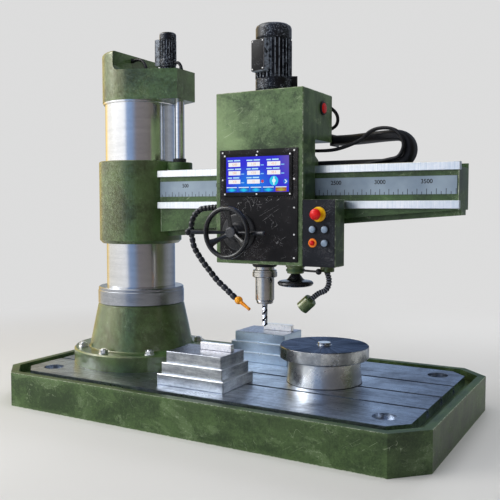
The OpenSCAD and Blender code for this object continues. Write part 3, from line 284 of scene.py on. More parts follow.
def walls_round(tree, place):
    """The room's wall colour in the compass direction of place."""
    sides = room_node(tree, "ShaderNodeSeparateXYZ", {}, place).outputs
    compass = room_node(tree, "ShaderNodeMath", {"operation": "ARCTAN2"}, sides["Y"], sides["X"])
    share = room_node(tree, "ShaderNodeMapRange", {}, compass.outputs[0], -math.pi, math.pi)
    ramp = room_node(tree, "ShaderNodeValToRGB", {}, share.outputs[0])
    stops = ramp.color_ramp.elements
    for angle, colour in WALLS:
        stops.new((angle + 180) / 360).color = (*colour, 1)
    stops.remove(stops[0])
    stops.remove(stops[-1])
    return ramp.outputs[0]


print("wall sectors", len(WALLS))

# %% [markdown]
# Light Path says what kind of ray asks for the room's colour. A camera ray gets the even tone;
# a mirrored one gets the walls, and one soft bright spot high at the left, which adds the small
# lights on buttons, balls and rims. The rays that light the paint get a plain dim grey, so that
# what metal mirrors doesn't tint the enamel.

# %% World
PALE, SPOT = 0.72, Vector((-0.70, -0.45, 0.55)).normalized()


def room_tone(tree, place, shown, dimmed=1.0, spot=None):
    """Even for the camera, in sectors for a mirror; the second output says that either looks."""
    rays = room_node(tree, "ShaderNodeLightPath", {}).outputs
    mirrored = room_node(tree, "ShaderNodeMath", {"operation": "MAXIMUM"},
                         rays["Is Glossy Ray"], rays["Is Transmission Ray"]).outputs[0]
    seen = room_node(tree, "ShaderNodeMath", {"operation": "MAXIMUM"}, rays["Is Camera Ray"], mirrored)
    walls = room_node(tree, "ShaderNodeVectorMath", {"operation": "MULTIPLY"}, walls_round(tree, place),
                      (dimmed, dimmed, dimmed))
    if spot:
        near = room_node(tree, "ShaderNodeVectorMath", {"operation": "DOT_PRODUCT"}, place, spot)
        glow = room_node(tree, "ShaderNodeMapRange", {"interpolation_type": "SMOOTHSTEP"},
                         near.outputs["Value"], 0.90, 0.97, 0.0, 7.0)
        walls = room_node(tree, "ShaderNodeVectorMath", {"operation": "ADD"}, walls.outputs[0],
                          glow.outputs[0])
    tone = room_node(tree, "ShaderNodeMix", {"data_type": "RGBA"})
    tree.links.new(mirrored, tone.inputs[0])
    tone.inputs[6].default_value = (shown, shown, shown, 1)
    tree.links.new(walls.outputs[0], tone.inputs[7])
    return tone.outputs[2], seen.outputs[0]


def pale_world(shown, lit):
    """A room that shows one tone and lights the paint at another strength."""
    world = bpy.data.worlds.new("pale_room")
    world.use_nodes = True
    tree = world.node_tree
    ray = room_node(tree, "ShaderNodeTexCoord", {}).outputs["Generated"]
    tone, seen = room_tone(tree, ray, shown, spot=SPOT)
    strength = room_node(tree, "ShaderNodeMapRange", {}, seen, 0.0, 1.0, lit, 1.0).outputs[0]
    tree.links.new(tone, tree.nodes["Background"].inputs["Color"])
    tree.links.new(strength, tree.nodes["Background"].inputs["Strength"])
    scene.world = world


pale_world(PALE, lit=0.36)
print("world", scene.world.name)

# %% [markdown]
# Colours are easiest to think of as on a screen, from 0 to 255, but shaders count light itself.
# The screen's numbers are bent, so that dark tones get more of them; tint() bends them back.

# %% Colours
def tint(red, green, blue):
    """A colour given as on a screen, 0 to 255, as the linear values that shaders use."""
    return tuple((v / 255 / 12.92) if v <= 10 else ((v / 255 + 0.055) / 1.055) ** 2.4
                 for v in (red, green, blue)) + (1.0,)


print("a screen's grey of 128 is", round(tint(128, 128, 128)[0], 3), "to a shader")

# %% [markdown]
# Shader maths reads best as sums. A Wire is one output socket; adding, subtracting, multiplying
# or comparing it makes the Math node behind the scenes. Dragging the same nodes about by hand
# gives the same material, but a sum can be read, copied and changed in one line.

# %% Shader sums
class Wire:
    """An output socket of a finish's nodes, to reckon with as with a number."""

    def __init__(self, finish, socket):
        self.finish, self.socket = finish, socket

    def maths(self, operation, *values):
        return self.finish.node("ShaderNodeMath", {"operation": operation}, dict(enumerate(values)))

    def __add__(self, other):
        return self.maths("ADD", self, other)

    def __radd__(self, other):
        return self.maths("ADD", other, self)

    def __sub__(self, other):
        return self.maths("SUBTRACT", self, other)

    def __rsub__(self, other):
        return self.maths("SUBTRACT", other, self)

    def __mul__(self, other):
        return self.maths("MULTIPLY", self, other)

    def __rmul__(self, other):
        return self.maths("MULTIPLY", other, self)

    def __truediv__(self, other):
        return self.maths("DIVIDE", self, other)

    def __pow__(self, other):
        return self.maths("POWER", self, other)

    def __abs__(self):
        return self.maths("ABSOLUTE", self)

    def __lt__(self, other):
        return self.maths("LESS_THAN", self, other)

    def __gt__(self, other):
        return self.maths("GREATER_THAN", self, other)

    def __or__(self, other):
        return self.maths("MAXIMUM", self, other)

    def __and__(self, other):
        return self.maths("MINIMUM", self, other)

    def ramp(self, low, high):
        """0 at low and below, 1 at high and above, with a soft start and end."""
        return self.finish.node("ShaderNodeMapRange", {"interpolation_type": "SMOOTHSTEP"},
                                {"Value": self, "From Min": low, "From Max": high})


print("a wire knows", sum(callable(method) for method in vars(Wire).values()), "methods")

# %% [markdown]
# A Finish is one material round its Principled shader. All that isn't plain arithmetic, such as
# a noise or a colour mix, comes from its node() method: the node's type, its settings, and what
# goes into its sockets. The other methods are the few recipes that every finish here shares.

# %% One finish
class Finish:
    """A material, with the short recipes that build its nodes."""

    def __init__(self, name, roughness=0.5, metallic=0.0, colour=(0.5, 0.5, 0.5, 1.0), coat=0.0):
        self.material = bpy.data.materials.new(name)
        self.material.use_nodes = True
        self.tree = self.material.node_tree
        self.shader = self.tree.nodes["Principled BSDF"]
        self.material.diffuse_color = colour
        self.set("Roughness", roughness)
        self.set("Metallic", metallic)
        self.set("Base Color", colour)
        self.set("Coat Weight", coat)
        self.set("Coat Roughness", 0.12)

    def feed(self, socket, value):
        if isinstance(value, Wire):
            self.tree.links.new(value.socket, socket)
        else:
            socket.default_value = value

    def set(self, name, value):
        self.feed(self.shader.inputs[name], value)

    def node(self, kind, settings, sockets, output=0):
        made = self.tree.nodes.new(kind)
        for name, value in settings.items():
            setattr(made, name, value)
        for name, value in sockets.items():
            self.feed(made.inputs[name], value)
        return Wire(self, made.outputs[output])

    def painted(self):
        """The colour that the finish has so far, to paint over."""
        return Wire(self, self.shader.inputs["Base Color"].links[0].from_socket)

    def place(self):
        return self.node("ShaderNodeTexCoord", {}, {}, "Object")

    def axes(self, place=None):
        """The three numbers of a place, as three wires."""
        place = place or self.place()
        return [self.node("ShaderNodeSeparateXYZ", {}, {0: place}, k) for k in range(3)]

    def noise(self, place, scale, detail=4.0, distortion=0.0, roughness=0.55):
        return self.node("ShaderNodeTexNoise", {}, {
            "Vector": place, "Scale": scale, "Detail": detail, "Distortion": distortion,
            "Roughness": roughness})

    def stretched(self, place, factors):
        return self.node("ShaderNodeMapping", {}, {"Vector": place, "Scale": factors})

    def mix(self, factor, first, second):
        return self.node("ShaderNodeMix", {"data_type": "RGBA"},
                         {0: factor, 6: first, 7: second}, 2)

    def cuts(self, place, fine=30.0, sparse=0.62):
        """Thin straight scratches, each of three directions in places of its own."""
        found = 0.0
        for turn in ((0.3, 0.5, 0.2), (-0.2, -0.9, 0.7), (0.5, 1.3, -0.4)):
            turned = self.node("ShaderNodeMapping", {}, {"Vector": place, "Rotation": turn})
            line = abs(self.noise(self.stretched(turned, (1.2, fine, fine)), 1.0, detail=1.0) - 0.5)
            spot = self.noise(turned, 6.0, detail=3.0).ramp(sparse, sparse + 0.05)
            found = ((1 - line.ramp(0.001, 0.010)) * spot) | found
        return found

    def bump(self, height, distance, strength=1.0):
        self.set("Normal", self.node("ShaderNodeBump", {}, {
            "Strength": strength, "Distance": distance, "Height": height}))


trial = Finish("trial")
print("a new finish has", len(trial.tree.nodes), "nodes")

# %% [markdown]
# Wear sits where a piece is touched: along its edges, or far from its axis, and so do the painted
# highlights on edges and crests and the painted shade of the drill's flutes. All are distances,
# worked out from the place of the point that is being painted. On a box's face, one of the three
# distances from the sides is nought, so the edge is as near as the middle one of them.

# %% Distances that steer wear and painted light
def off_axis(across, back):
    """Distance from an axis, from the distances along two directions square to it."""
    return (across * across + back * back) ** 0.5


def near_edge(axes, low, high):
    """Distance from the nearest edge of a box, in metres, for a point on the box's faces."""
    x, y, z = (abs(place - low[k]) & abs(place - high[k]) for k, place in enumerate(axes))
    return (x & y) | ((x | y) & z)


near_edge(trial.axes(), (0, 0, 0), (1, 1, 1))
print("with the distance from a box's edges it has", len(trial.tree.nodes))
bpy.data.materials.remove(trial.material)

# %% [markdown]
# The castings wear a thick green enamel that years of chips and coolant have mottled. It is
# darker and lighter in hand-sized clouds, finely scratched, and pale along its corners, where it
# is worn through to primer and where a painted highlight lies too, with a fainter painted sheen
# beside it. Two scales of noise make the clouds, the thin middle line of a noise drawn out in one
# direction makes straight scratches, and the distance from the casting's edges steers both the
# worn paint and the painted edge highlight. A clear coat of uneven strength gives the round
# castings their gloss.

# %% Green enamel
def enamel(name, box=None, dark=tint(34, 52, 28), light=tint(66, 92, 54), faded=tint(98, 120, 84),
           streaks=0.0, rough=0.3, coat=0.15, edge_width=0.0038, highlight_at=None, worn=1.0):
    """Green paint, pale along the edges of box if there is one: worn there, and painted as a highlight.

    Worn scales the faded patches and scratches, streaks the runs on the box's right side, and
    the edge width is how far the pale edges reach. A point given to pale round, in X and Z, paints
    a pale highlight round it. A coat above a half stands for glossy paint.
    """
    paint = Finish(name)
    place = paint.place()
    cloud = paint.noise(place, 5.0, detail=6.0, distortion=0.4, roughness=0.6)
    speck = paint.noise(place, 48.0, detail=5.0, roughness=0.7)
    grit = paint.noise(place, 110.0, detail=3.0, roughness=0.8)
    grime = paint.noise(place, 2.2, detail=3.0)
    patchy = paint.noise(paint.stretched(place, (1.0, 1.0, 1.6)), 4.6, detail=9.0, distortion=0.8,
                         roughness=0.68)
    line = paint.noise(paint.stretched(place, (7.0, 7.0, 22.0)), 1.0, detail=3.0, distortion=1.5)
    cross = paint.noise(paint.stretched(place, (22.0, 18.0, 6.0)), 1.0, detail=3.0, distortion=1.2)
    curved = 1 - (abs(line - 0.5) & abs(cross - 0.5)).ramp(0.001, 0.0045)
    scratch = (curved * patchy.ramp(0.50, 0.60) * 0.6) | (paint.cuts(place) * 0.7)
    mottle = (cloud * 0.5 + speck * 0.25 + grit * 0.25).ramp(0.40, 0.60)
    if streaks:
        side = (paint.axes()[0] > box[1][0] - 0.002) * streaks
        run = paint.noise(paint.stretched(place, (13.0, 13.0, 2.0)), 1.0, detail=5.0, distortion=0.5)
        mottle = mottle * (1 - side) + run.ramp(0.4, 0.62) * side
    colour = paint.mix(mottle, dark, light)
    colour = paint.mix(patchy.ramp(0.525, 0.60) * 0.36 * worn, colour, faded)
    colour = paint.mix(grime.ramp(0.48, 0.70) * 0.45, colour, tint(24, 36, 20))
    # A pale pool round the given point, in X and Z, is a painted highlight.
    if highlight_at:
        x, y, z = paint.axes()
        off = off_axis(x - highlight_at[0], z - highlight_at[1]) + (patchy - 0.5) * 0.5
        colour = paint.mix((1 - off.ramp(0.05, 0.26)) * 0.45, colour, tint(152, 176, 128))
    colour = paint.mix(speck.ramp(0.64, 0.72) * 0.3, colour, tint(132, 152, 114))
    colour = paint.mix(scratch * 0.7 * worn, colour, tint(176, 188, 160))
    bare = scratch * 0.15
    if box:
        edge = near_edge(paint.axes(), *box)
        # Along the edges the paint is worn to primer, and the same pale band is also a painted highlight; the wider,
        # fainter band is a painted sheen.
        rubbed_and_glint = 1 - (edge + (speck - 0.5) * 0.014).ramp(0.0004, edge_width)
        edge_sheen = 1 - (edge + (cloud - 0.5) * 0.05).ramp(0.002, 0.020)
        colour = paint.mix(edge_sheen * 0.18, colour, tint(112, 136, 92))
        colour = paint.mix(rubbed_and_glint * 0.8, colour, tint(196, 204, 184))
        bare = bare | rubbed_and_glint
        # Painted shade: the top face of the box is painted darker.
        colour = paint.mix((paint.axes()[2] > box[1][2] - 0.001) * 0.4, colour, tint(34, 50, 26))
    paint.set("Base Color", colour)
    paint.set("Roughness", rough + speck * 0.2 + patchy.ramp(0.5, 0.62) * 0.12 + bare * 0.1)
    paint.set("Specular IOR Level", 0.9 if coat > 0.5 else 0.35)
    paint.set("Specular Tint", (1.0, 0.9, 0.55, 1) if coat > 0.5 else (1, 1, 1, 1))
    paint.set("Coat Weight", (0.2 + (speck * 0.5 + grit * 0.5).ramp(0.42, 0.56) * 0.8) * coat)
    paint.set("Coat Roughness", 0.2)
    if coat > 0.5:
        paint.set("Coat IOR", 1.7)
    paint.bump(speck * 0.5 + grit * 0.15 + cloud * 0.35 - scratch * 0.3, 0.0018, 0.4)
    return paint


green = enamel("green_enamel", None, tint(30, 51, 25), tint(62, 92, 49), coat=0.9, worn=0.35)
print("round castings' enamel", len(green.tree.nodes), "nodes")

# %% [markdown]
# The castings share the recipe but not their state: the round ones above are glossier and less
# worn, the head has a pale painted highlight round one spot and is streaked at the side, and
# the base has narrower worn and highlighted edges. A box round the casting's CAD node tells the
# recipe where its edges are.

# %% Castings with edges
def around(*nodes):
    """The box round some CAD nodes, as two corners."""
    boxes = [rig.box(node) for node in nodes]
    return ([min(b[0][k] for b in boxes) for k in range(3)],
            [max(b[1][k] for b in boxes) for k in range(3)])


# The head's pale spot is a painted highlight.
green_head = enamel("green_enamel_head", around("head_housing"), tint(26, 46, 22), tint(82, 106, 68),
                    tint(112, 134, 96), streaks=0.5, highlight_at=(-0.02, 1.50))
green_box = enamel("green_enamel_box", around("control_box"), tint(24, 38, 20), tint(48, 68, 40),
                   streaks=0.3)
green_base = enamel("green_enamel_base", around("base_casting"), tint(34, 53, 25), tint(70, 93, 53),
                    tint(104, 125, 88), rough=0.36, edge_width=0.0022)
green_arm = enamel("green_enamel_arm", around("arm_beam"))
print("enamels", [e.material.name for e in (green_head, green_box, green_base, green_arm)])

# %% [markdown]
# Steel comes in several states here: the planed table is dark and blotchy from oil, the blocks
# and the round table are bright but scuffed, the rails are freshly ground, and the column is
# plated like a mirror. One function makes them all from two colours and two roughnesses, with
# the grain's direction and the strength of its stains as arguments.

# %% Bright and dark steel
def steel(name, dark, light, rough=(0.18, 0.4), grain=(1.0, 60.0, 60.0), stain=0.5, bump=0.0004):
    """Bare steel between two colours; rough is the roughness of its light and of its dark places."""
    metal = Finish(name, metallic=1.0)
    place = metal.place()
    cloud = metal.noise(place, 5.0, detail=7.0, distortion=0.6, roughness=0.65)
    speck = metal.noise(place, 60.0, detail=4.0, roughness=0.7)
    lines = metal.noise(metal.stretched(place, grain), 4.0, detail=5.0, roughness=0.6)
    line = metal.noise(metal.stretched(place, (6.0, 14.0, 14.0)), 1.0, detail=4.0, distortion=2.0)
    scratch = (1 - abs(line - 0.5).ramp(0.001, 0.005)) * min(1.0, stain * 2)
    tone = ((cloud - 0.5) * stain * 2 + (lines - 0.5) * 0.8 + (speck - 0.5) * 0.35 + 0.5).ramp(0.1, 0.9)
    colour = metal.mix(tone, dark, light)
    colour = metal.mix(scratch * 0.5, colour, tint(225, 230, 236))
    metal.set("Base Color", colour)
    metal.set("Roughness", rough[0] + (1 - tone) * (rough[1] - rough[0]) + (lines - 0.5) * 0.08)
    if bump:
        metal.bump(lines * 0.7 + cloud * 0.3 - scratch * 0.3, bump, 0.5)
    return metal


table_steel = steel("table_steel", tint(104, 114, 132), tint(212, 222, 236), rough=(0.24, 0.42),
                    grain=(1.0, 25.0, 25.0), stain=0.6)
rail_steel = steel("rail_steel", tint(204, 216, 228), tint(252, 253, 255), rough=(0.26, 0.4),
                   grain=(60.0, 1.0, 1.0), stain=0.35, bump=0.0)
spindle_steel = steel("spindle_steel", tint(198, 196, 192), tint(222, 220, 216), rough=(0.22, 0.28),
                      grain=(1.0, 1.0, 12.0), stain=0.05, bump=0.0)
zinc_steel = steel("zinc_steel", tint(216, 218, 222), tint(252, 252, 254), rough=(0.3, 0.42),
                   grain=(20.0, 20.0, 20.0), stain=0.2)
chrome = steel("plated_chrome", tint(214, 216, 220), tint(240, 241, 244), rough=(0.14, 0.2),
               grain=(1.0, 1.0, 8.0), stain=0.1, bump=0.0)
ring_chrome = steel("ring_chrome", tint(150, 154, 162), tint(186, 190, 198), rough=(0.2, 0.28),
                    grain=(1.0, 1.0, 8.0), stain=0.15, bump=0.0)
screw_chrome = steel("screw_chrome", tint(206, 210, 216), tint(240, 242, 246), rough=(0.1, 0.15),
                     grain=(2.0, 2.0, 40.0), stain=0.12, bump=0.0)
print("steels", [m.name for m in bpy.data.materials if m.name.endswith(("steel", "chrome"))])

# %% [markdown]
# The stepped blocks are scraped steel. Their ledges carry a painted highlight and their tops
# painted shade, the clamping bars on them are nearly white, and the far block gets a painted blue
# reflection. The steel recipe already gives the grain, so this one takes the colour it has made
# and paints over it by height.

# %% Stepped blocks
TIER = 0.0583  # height of one step, in metres


def block_steel():
    finish = steel("block_steel", tint(104, 110, 120), tint(200, 205, 212), rough=(0.24, 0.38),
                   grain=(3.0, 3.0, 16.0), stain=0.35, bump=0.0002)
    x, y, z = finish.axes()
    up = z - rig.box("step_blocks")[0][2]
    fine = finish.noise(finish.place(), 90.0, detail=4.0, roughness=0.7)
    # Painted reflection: the far block is tinted blue, as of a blue sky.
    colour = finish.mix((y > 0.1) * (0.35 + fine * 0.4), finish.painted(), tint(196, 224, 250))
    # Painted highlight: a bright line along each ledge.
    lip = 1 - (abs(up - TIER) & abs(up - 2 * TIER)).ramp(0.0015, 0.004)
    colour = finish.mix(lip * 0.6, colour, tint(240, 243, 248))
    # Painted shade: the top face is painted darker.
    top = finish.mix(fine.ramp(0.4, 0.6), tint(84, 82, 98), tint(150, 154, 172))
    colour = finish.mix((abs(up - 3 * TIER) < 0.001) * 0.8, colour, top)
    bar = finish.mix(fine.ramp(0.3, 0.5), tint(214, 220, 228), tint(255, 255, 255))
    finish.set("Base Color", finish.mix(up > 3 * TIER + 0.001, colour, bar))
    return finish


worn_steel = block_steel()
print("steps of", round(TIER / MM, 1), "mm")

# %% [markdown]
# A twist drill's flutes are painted dark, as painted shade in the hollows, and its lands are
# near white, a painted highlight. A flute lies nearer to the drill's axis than the lands do, so
# the distance from the axis picks the colour, and the painted shade follows the flutes however
# they wind.

# %% Twist drill
SPINDLE = (0.258, -0.190)  # where the spindle's axis crosses the floor


def drill_steel():
    finish = steel("drill_steel", tint(200, 208, 222), tint(246, 248, 252), rough=(0.12, 0.2),
                   grain=(8.0, 8.0, 8.0), stain=0.2, bump=0.0)
    x, y, z = finish.axes()
    # Painted shade in the flutes, near the axis; the near-white lands are a painted highlight.
    land = off_axis(x - SPINDLE[0], y - SPINDLE[1]).ramp(0.0115, 0.0140)
    finish.set("Base Color", finish.mix(land, tint(34, 40, 60), finish.painted()))
    return finish


tool_steel = drill_steel()
print("drill", [round(v, 3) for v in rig.box("drill_bit")[0]])

# %% [markdown]
# The round table was turned on a lathe and then scraped, so its top shows darker and lighter
# rays from the middle. The compass angle of a point round the table's axis, stretched over a
# noise, gives the rays; on the rim the same angle gives upright streaks.

# %% Round table's steel
def rayed_steel(name, node, dark, light, top_dark, top_light, edge=(1.0, 1.0, 1.0)):
    """Turned steel with two colours on its rim and two on its top; edge tints the flat gleam."""
    low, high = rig.box(node)
    metal = Finish(name, metallic=1.0)
    x, y, z = metal.axes()
    across, back = x - (low[0] + high[0]) / 2, y - (low[1] + high[1]) / 2
    off = off_axis(across, back)
    ray = metal.node("ShaderNodeCombineXYZ", {}, {0: across / (off + 0.001), 1: back / (off + 0.001), 2: off})
    rays = metal.noise(metal.stretched(ray, (9.0, 9.0, 1.2)), 1.0, detail=6.0, roughness=0.7)
    cloud = metal.noise(metal.place(), 9.0, detail=6.0, roughness=0.65)
    top = z > high[2] - 0.002
    tone = (rays * top * 0.6 + cloud * (1 - top * 0.6)).ramp(0.36, 0.66)
    lip = 1 - abs(off - 0.0385).ramp(0.002, 0.005)
    colour = metal.mix(top, metal.mix(tone, dark, light), metal.mix(tone, top_dark, top_light))
    metal.set("Base Color", metal.mix(lip * 0.7, colour, tint(238, 240, 244)))
    metal.set("Roughness", 0.34 - tone * 0.12)
    metal.set("Specular Tint", (*edge, 1))
    return metal


round_steel = rayed_steel("round_steel", "round_table_top", tint(150, 154, 160), tint(222, 225, 229),
                          tint(56, 62, 76), tint(122, 130, 148), edge=(0.40, 0.43, 0.49))
round_base_steel = rayed_steel("round_base_steel", "round_table_base", tint(206, 210, 214),
                               tint(250, 251, 252), tint(206, 210, 214), tint(250, 251, 252))
print("round table", [round(v, 3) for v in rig.box("round_table_top")[0]])

# %% [markdown]
# The black pieces differ mostly in gloss: stove enamel on the panel, scratched down to grey;
# semi-gloss paint on the motors; smooth plastic on grips and wheels; dull rubber on the hoses.

# %% Blacks
def black(name, base, scuff, rough=(0.3, 0.5), scratched=0.0, coat=0.0, grain=40.0, chips=0.0,
          patch=None, gloss=0.3, dense=0.0):
    """Scratched, chips and dense say how much grey shows through, gloss is the specular level.

    A patch, (two axes' numbers, centre, radius, colour), gives a round part its own colour.
    """
    finish = Finish(name, coat=coat)
    place = finish.place()
    cloud = finish.noise(place, 9.0, detail=5.0, roughness=0.6)
    speck = finish.noise(place, grain, detail=4.0, roughness=0.65)
    line = finish.noise(finish.stretched(place, (16.0, 16.0, 40.0)), 1.0, detail=4.0, distortion=2.2)
    curved = (1 - abs(line - 0.5).ramp(0.001, 0.006)) * cloud.ramp(0.52, 0.62) * 0.6
    scratch = (curved | (finish.cuts(place, 40.0, 0.60) * 0.8)) * scratched
    colour = finish.mix(cloud.ramp(0.35, 0.75) * 0.6, base, scuff)
    colour = finish.mix(scratch, colour, tint(172, 172, 176))
    if chips:
        chip = finish.noise(place, 130.0, detail=3.0, roughness=0.8).ramp(0.62 - dense, 0.67 - dense)
        chip = chip * cloud.ramp(0.44 - dense, 0.56 - dense)
        colour = finish.mix(chip * chips, colour, tint(150, 158, 172))
    if patch:
        pair, centre, reach, paint = patch
        across, back = (finish.axes()[k] - c * MM for k, c in zip(pair, centre))
        colour = finish.mix(off_axis(across, back) < reach * MM, colour, paint)
    finish.set("Base Color", colour)
    finish.set("Roughness", rough[0] + speck * (rough[1] - rough[0]))
    finish.set("Specular IOR Level", gloss)
    finish.bump(speck - scratch * 0.4, 0.0003, 0.4)
    return finish


panel_black = black("panel_black", tint(19, 19, 22), tint(44, 41, 43), rough=(0.42, 0.6), scratched=0.9,
                    chips=0.35, gloss=0.12)
box_black = black("box_black", tint(24, 26, 32), tint(42, 44, 51), rough=(0.42, 0.6), scratched=0.5,
                  chips=0.35, gloss=0.12)
ring_black = black("ring_black", tint(18, 19, 22), tint(36, 38, 42),
                   patch=((0, 2), (569, 945), 24, tint(236, 128, 40)))
clutch_black = black("clutch_black", tint(20, 21, 24), tint(44, 46, 52), rough=(0.24, 0.4), coat=0.2,
                     patch=((0, 1), (437, -190), 51, tint(58, 80, 50)))
motor_black = black("motor_black", tint(12, 14, 21), tint(33, 38, 50), rough=(0.26, 0.42), coat=0.12,
                    chips=0.7, dense=0.06)
grip_black = black("grip_black", tint(17, 18, 22), tint(40, 42, 48), rough=(0.2, 0.34), coat=0.3,
                   patch=((0, 2), (150, 992), 29.4, tint(58, 60, 66)))
bezel_black = black("bezel_black", tint(14, 14, 17), tint(26, 26, 29), rough=(0.4, 0.55), chips=0.2,
                    gloss=0.1)
lever_black = black("lever_black", tint(16, 18, 24), tint(38, 40, 48), rough=(0.24, 0.36), coat=0.15,
                    chips=0.3)
iron_black = black("iron_black", tint(26, 27, 30), tint(60, 61, 66), rough=(0.3, 0.5), scratched=0.3)
rubber_black = black("rubber_black", tint(14, 14, 17), tint(36, 37, 44), rough=(0.42, 0.6))
lamp_coil = black("lamp_coil", tint(12, 12, 15), tint(24, 25, 28), rough=(0.3, 0.5), coat=0.1)
hose_black = black("hose_black", tint(14, 15, 21), tint(46, 49, 62), rough=(0.2, 0.36), coat=0.25)
print("blacks", [m.name for m in bpy.data.materials if m.name.endswith("black")])

# %% [markdown]
# On a motor's cooling fins the crests are painted pale: the paint is worn off there, where rags
# and sleeves rub, and the pale metal is also a painted highlight on the crests. The crests are the
# places farthest from the motor's upright axis, so the distance from that axis lets a coarse noise
# show the pale metal there and nowhere else.

# %% Motors' fins
MAIN_MOTOR, MAIN_R = (0.258, -0.095), 0.098  # axis over the floor and radius over the fins
LIFT_MOTOR, LIFT_R = (-0.499, 0.0), 0.051


def finned_black(name, axis, reach):
    finish = black(name, tint(11, 13, 20), tint(30, 35, 47), rough=(0.26, 0.42), coat=0.1, chips=0.7,
                   dense=0.06)
    x, y, z = finish.axes()
    crest = off_axis(x - axis[0], y - axis[1]).ramp(reach * 0.984, reach * 0.988)
    # Pale crests: worn paint, and also a painted highlight.
    worn = finish.noise(finish.place(), 60.0, detail=3.0).ramp(0.38, 0.52) * crest
    finish.set("Base Color", finish.mix(worn * 0.5, finish.painted(), tint(158, 168, 184)))
    return finish


main_fins = finned_black("main_motor_black", MAIN_MOTOR, MAIN_R)
lift_fins = finned_black("lift_motor_black", LIFT_MOTOR, LIFT_R)
print("fins reach", round(MAIN_R / MM), "and", round(LIFT_R / MM), "mm")

# %% [markdown]
# Buttons, collar and nozzle are moulded in coloured plastic. It is nearly even: a slow cloud
# between two close tones and a very fine bump are enough to keep it from looking computed.

# %% Coloured plastics
def plastic(name, colour, deep, rough=0.25, grain=70.0):
    finish = Finish(name, coat=0.15)
    finish.set("Specular IOR Level", 0.3)
    place = finish.place()
    cloud = finish.noise(place, 22.0, detail=3.0)
    speck = finish.noise(place, grain, detail=3.0)
    finish.set("Base Color", finish.mix(cloud.ramp(0.35, 0.7), colour, deep))
    finish.set("Roughness", rough + speck * 0.15)
    finish.bump(speck, 0.0002, 0.25)
    return finish


button_red = plastic("button_red", tint(214, 8, 10), tint(176, 2, 4))
button_blue = plastic("button_blue", tint(140, 158, 180), tint(108, 126, 150))
collar_yellow = plastic("collar_yellow", tint(236, 186, 20), tint(212, 156, 12))
nozzle_orange = plastic("nozzle_orange", tint(244, 166, 30), tint(222, 132, 14))
marking_ink = plastic("marking_ink", tint(18, 20, 24), tint(10, 12, 15), rough=0.5)
screw_bright = plastic("screw_bright", tint(246, 247, 250), tint(222, 224, 230), rough=0.3)
figure_red = plastic("figure_red", tint(232, 168, 150), tint(222, 150, 132), rough=0.5)
bulb_glass = plastic("bulb_glass", tint(248, 246, 236), tint(236, 232, 216), rough=0.15)
print("materials so far", len(bpy.data.materials))

# %% [markdown]
# The ruler plate is pale anodised metal with engraved strokes. The strokes repeat evenly along
# X, so the distance from the nearest one is a fraction of the position; a stroke is there where
# that distance is small and the height above the plate's lower edge is short enough.

# %% Ruler plate
RULER_ZERO, RULER_UNIT = -0.5389, 0.000464  # where its nought would be, and one unit, in metres
STROKES = ((100, 0.027), (50, 0.013))  # units from stroke to stroke, height of a stroke


def ruler_finish():
    metal = Finish("ruler_metal", metallic=0.1, roughness=0.45)
    place = metal.place()
    x, y, z = metal.axes()
    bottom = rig.box("ruler_plate")[0][2]
    strokes = 0.0
    for every, tall in STROKES:
        pitch = every * RULER_UNIT
        along = (x - RULER_ZERO) / pitch + 0.5
        off = abs(along.maths("FRACT", along) - 0.5) * pitch
        strokes = ((off < 0.0016) * (z < bottom + tall)) | strokes
    cloud = metal.noise(place, 5.0, detail=4.0)
    fine = metal.noise(metal.stretched(place, (4.0, 60.0, 60.0)), 3.0)
    colour = metal.mix(cloud.ramp(0.3, 0.7), tint(112, 128, 146), tint(140, 156, 172))
    metal.set("Base Color", metal.mix(strokes, colour, tint(28, 32, 40)))
    metal.set("Roughness", 0.42 + fine * 0.12)
    metal.bump(fine, 0.0001, 0.3)
    return metal


ruler_metal = ruler_finish()
print("long strokes every", round(STROKES[0][0] * RULER_UNIT / MM, 1), "mm")

# %% [markdown]
# The display is lit from within, so its picture is Emission Color over black glass. An image
# could be stuck on, but drawn by sums it stays sharp. Every field is a box between four shares
# of the screen's width and height, and multiplying four comparisons gives its mask. Short bars
# stand for captions, as words would only date the lesson.

# %% Display's fields
ROWS = ((0.728, 0.848), (0.485, 0.605), (0.24, 0.358))  # from and to, as shares of the height
COLUMNS = ((0.04, 0.233), (0.344, 0.546), (0.662, 0.864))  # and of the width


def field_masks(inside):
    """Masks of the eight white fields, the captions above them and the units beside them."""
    boxes, captions, units = 0.0, 0.0, 0.0
    for row, (floor, ceiling) in enumerate(ROWS):
        for column, (left, right) in enumerate(COLUMNS):
            if (row, column) == (2, 2):
                continue
            boxes = inside(left, right, floor, ceiling) | boxes
            start = left - 0.012
            stop = start + (0.084, 0.098, 0.070)[(row + column) % 3]
            captions = inside(start, stop, ceiling + 0.034, ceiling + 0.068) | captions
            captions = inside(stop + 0.016, stop + 0.118, ceiling + 0.034, ceiling + 0.072) | captions
            if column or row:
                units = inside(right + 0.012, right + 0.062, floor + 0.014, floor + 0.044) | units
    return boxes, captions, units


print("fields", len(ROWS) * len(COLUMNS) - 1)

# %% [markdown]
# Along the screen's foot stand five keys, the last one orange. Each has a bright heart that
# fades towards its ends and a pale strip along its top, as a lit key of glass would show.

# %% Display's keys
KEY_PITCH, KEY_WIDE = 0.196, 0.168  # shares of the width


def with_keys(glass, picture, u, v, inside):
    for number in range(5):
        left = 0.008 + number * KEY_PITCH
        rim, heart = tint(8, 84, 190), tint(20, 200, 240)
        if number == 4:
            rim, heart = tint(168, 84, 44), tint(170, 168, 60)
        middle = (abs(u - (left + KEY_WIDE / 2)) * 1.8 + abs(v - 0.06) * 2.0).ramp(0.19, 0.03)
        key = inside(left, left + KEY_WIDE, 0.012, 0.148)
        picture = glass.mix(key, picture, glass.mix(middle, rim, heart))
        strip = inside(left, left + KEY_WIDE, 0.122, 0.148)
        picture = glass.mix(strip, picture, tint(214, 232, 250))
    return picture


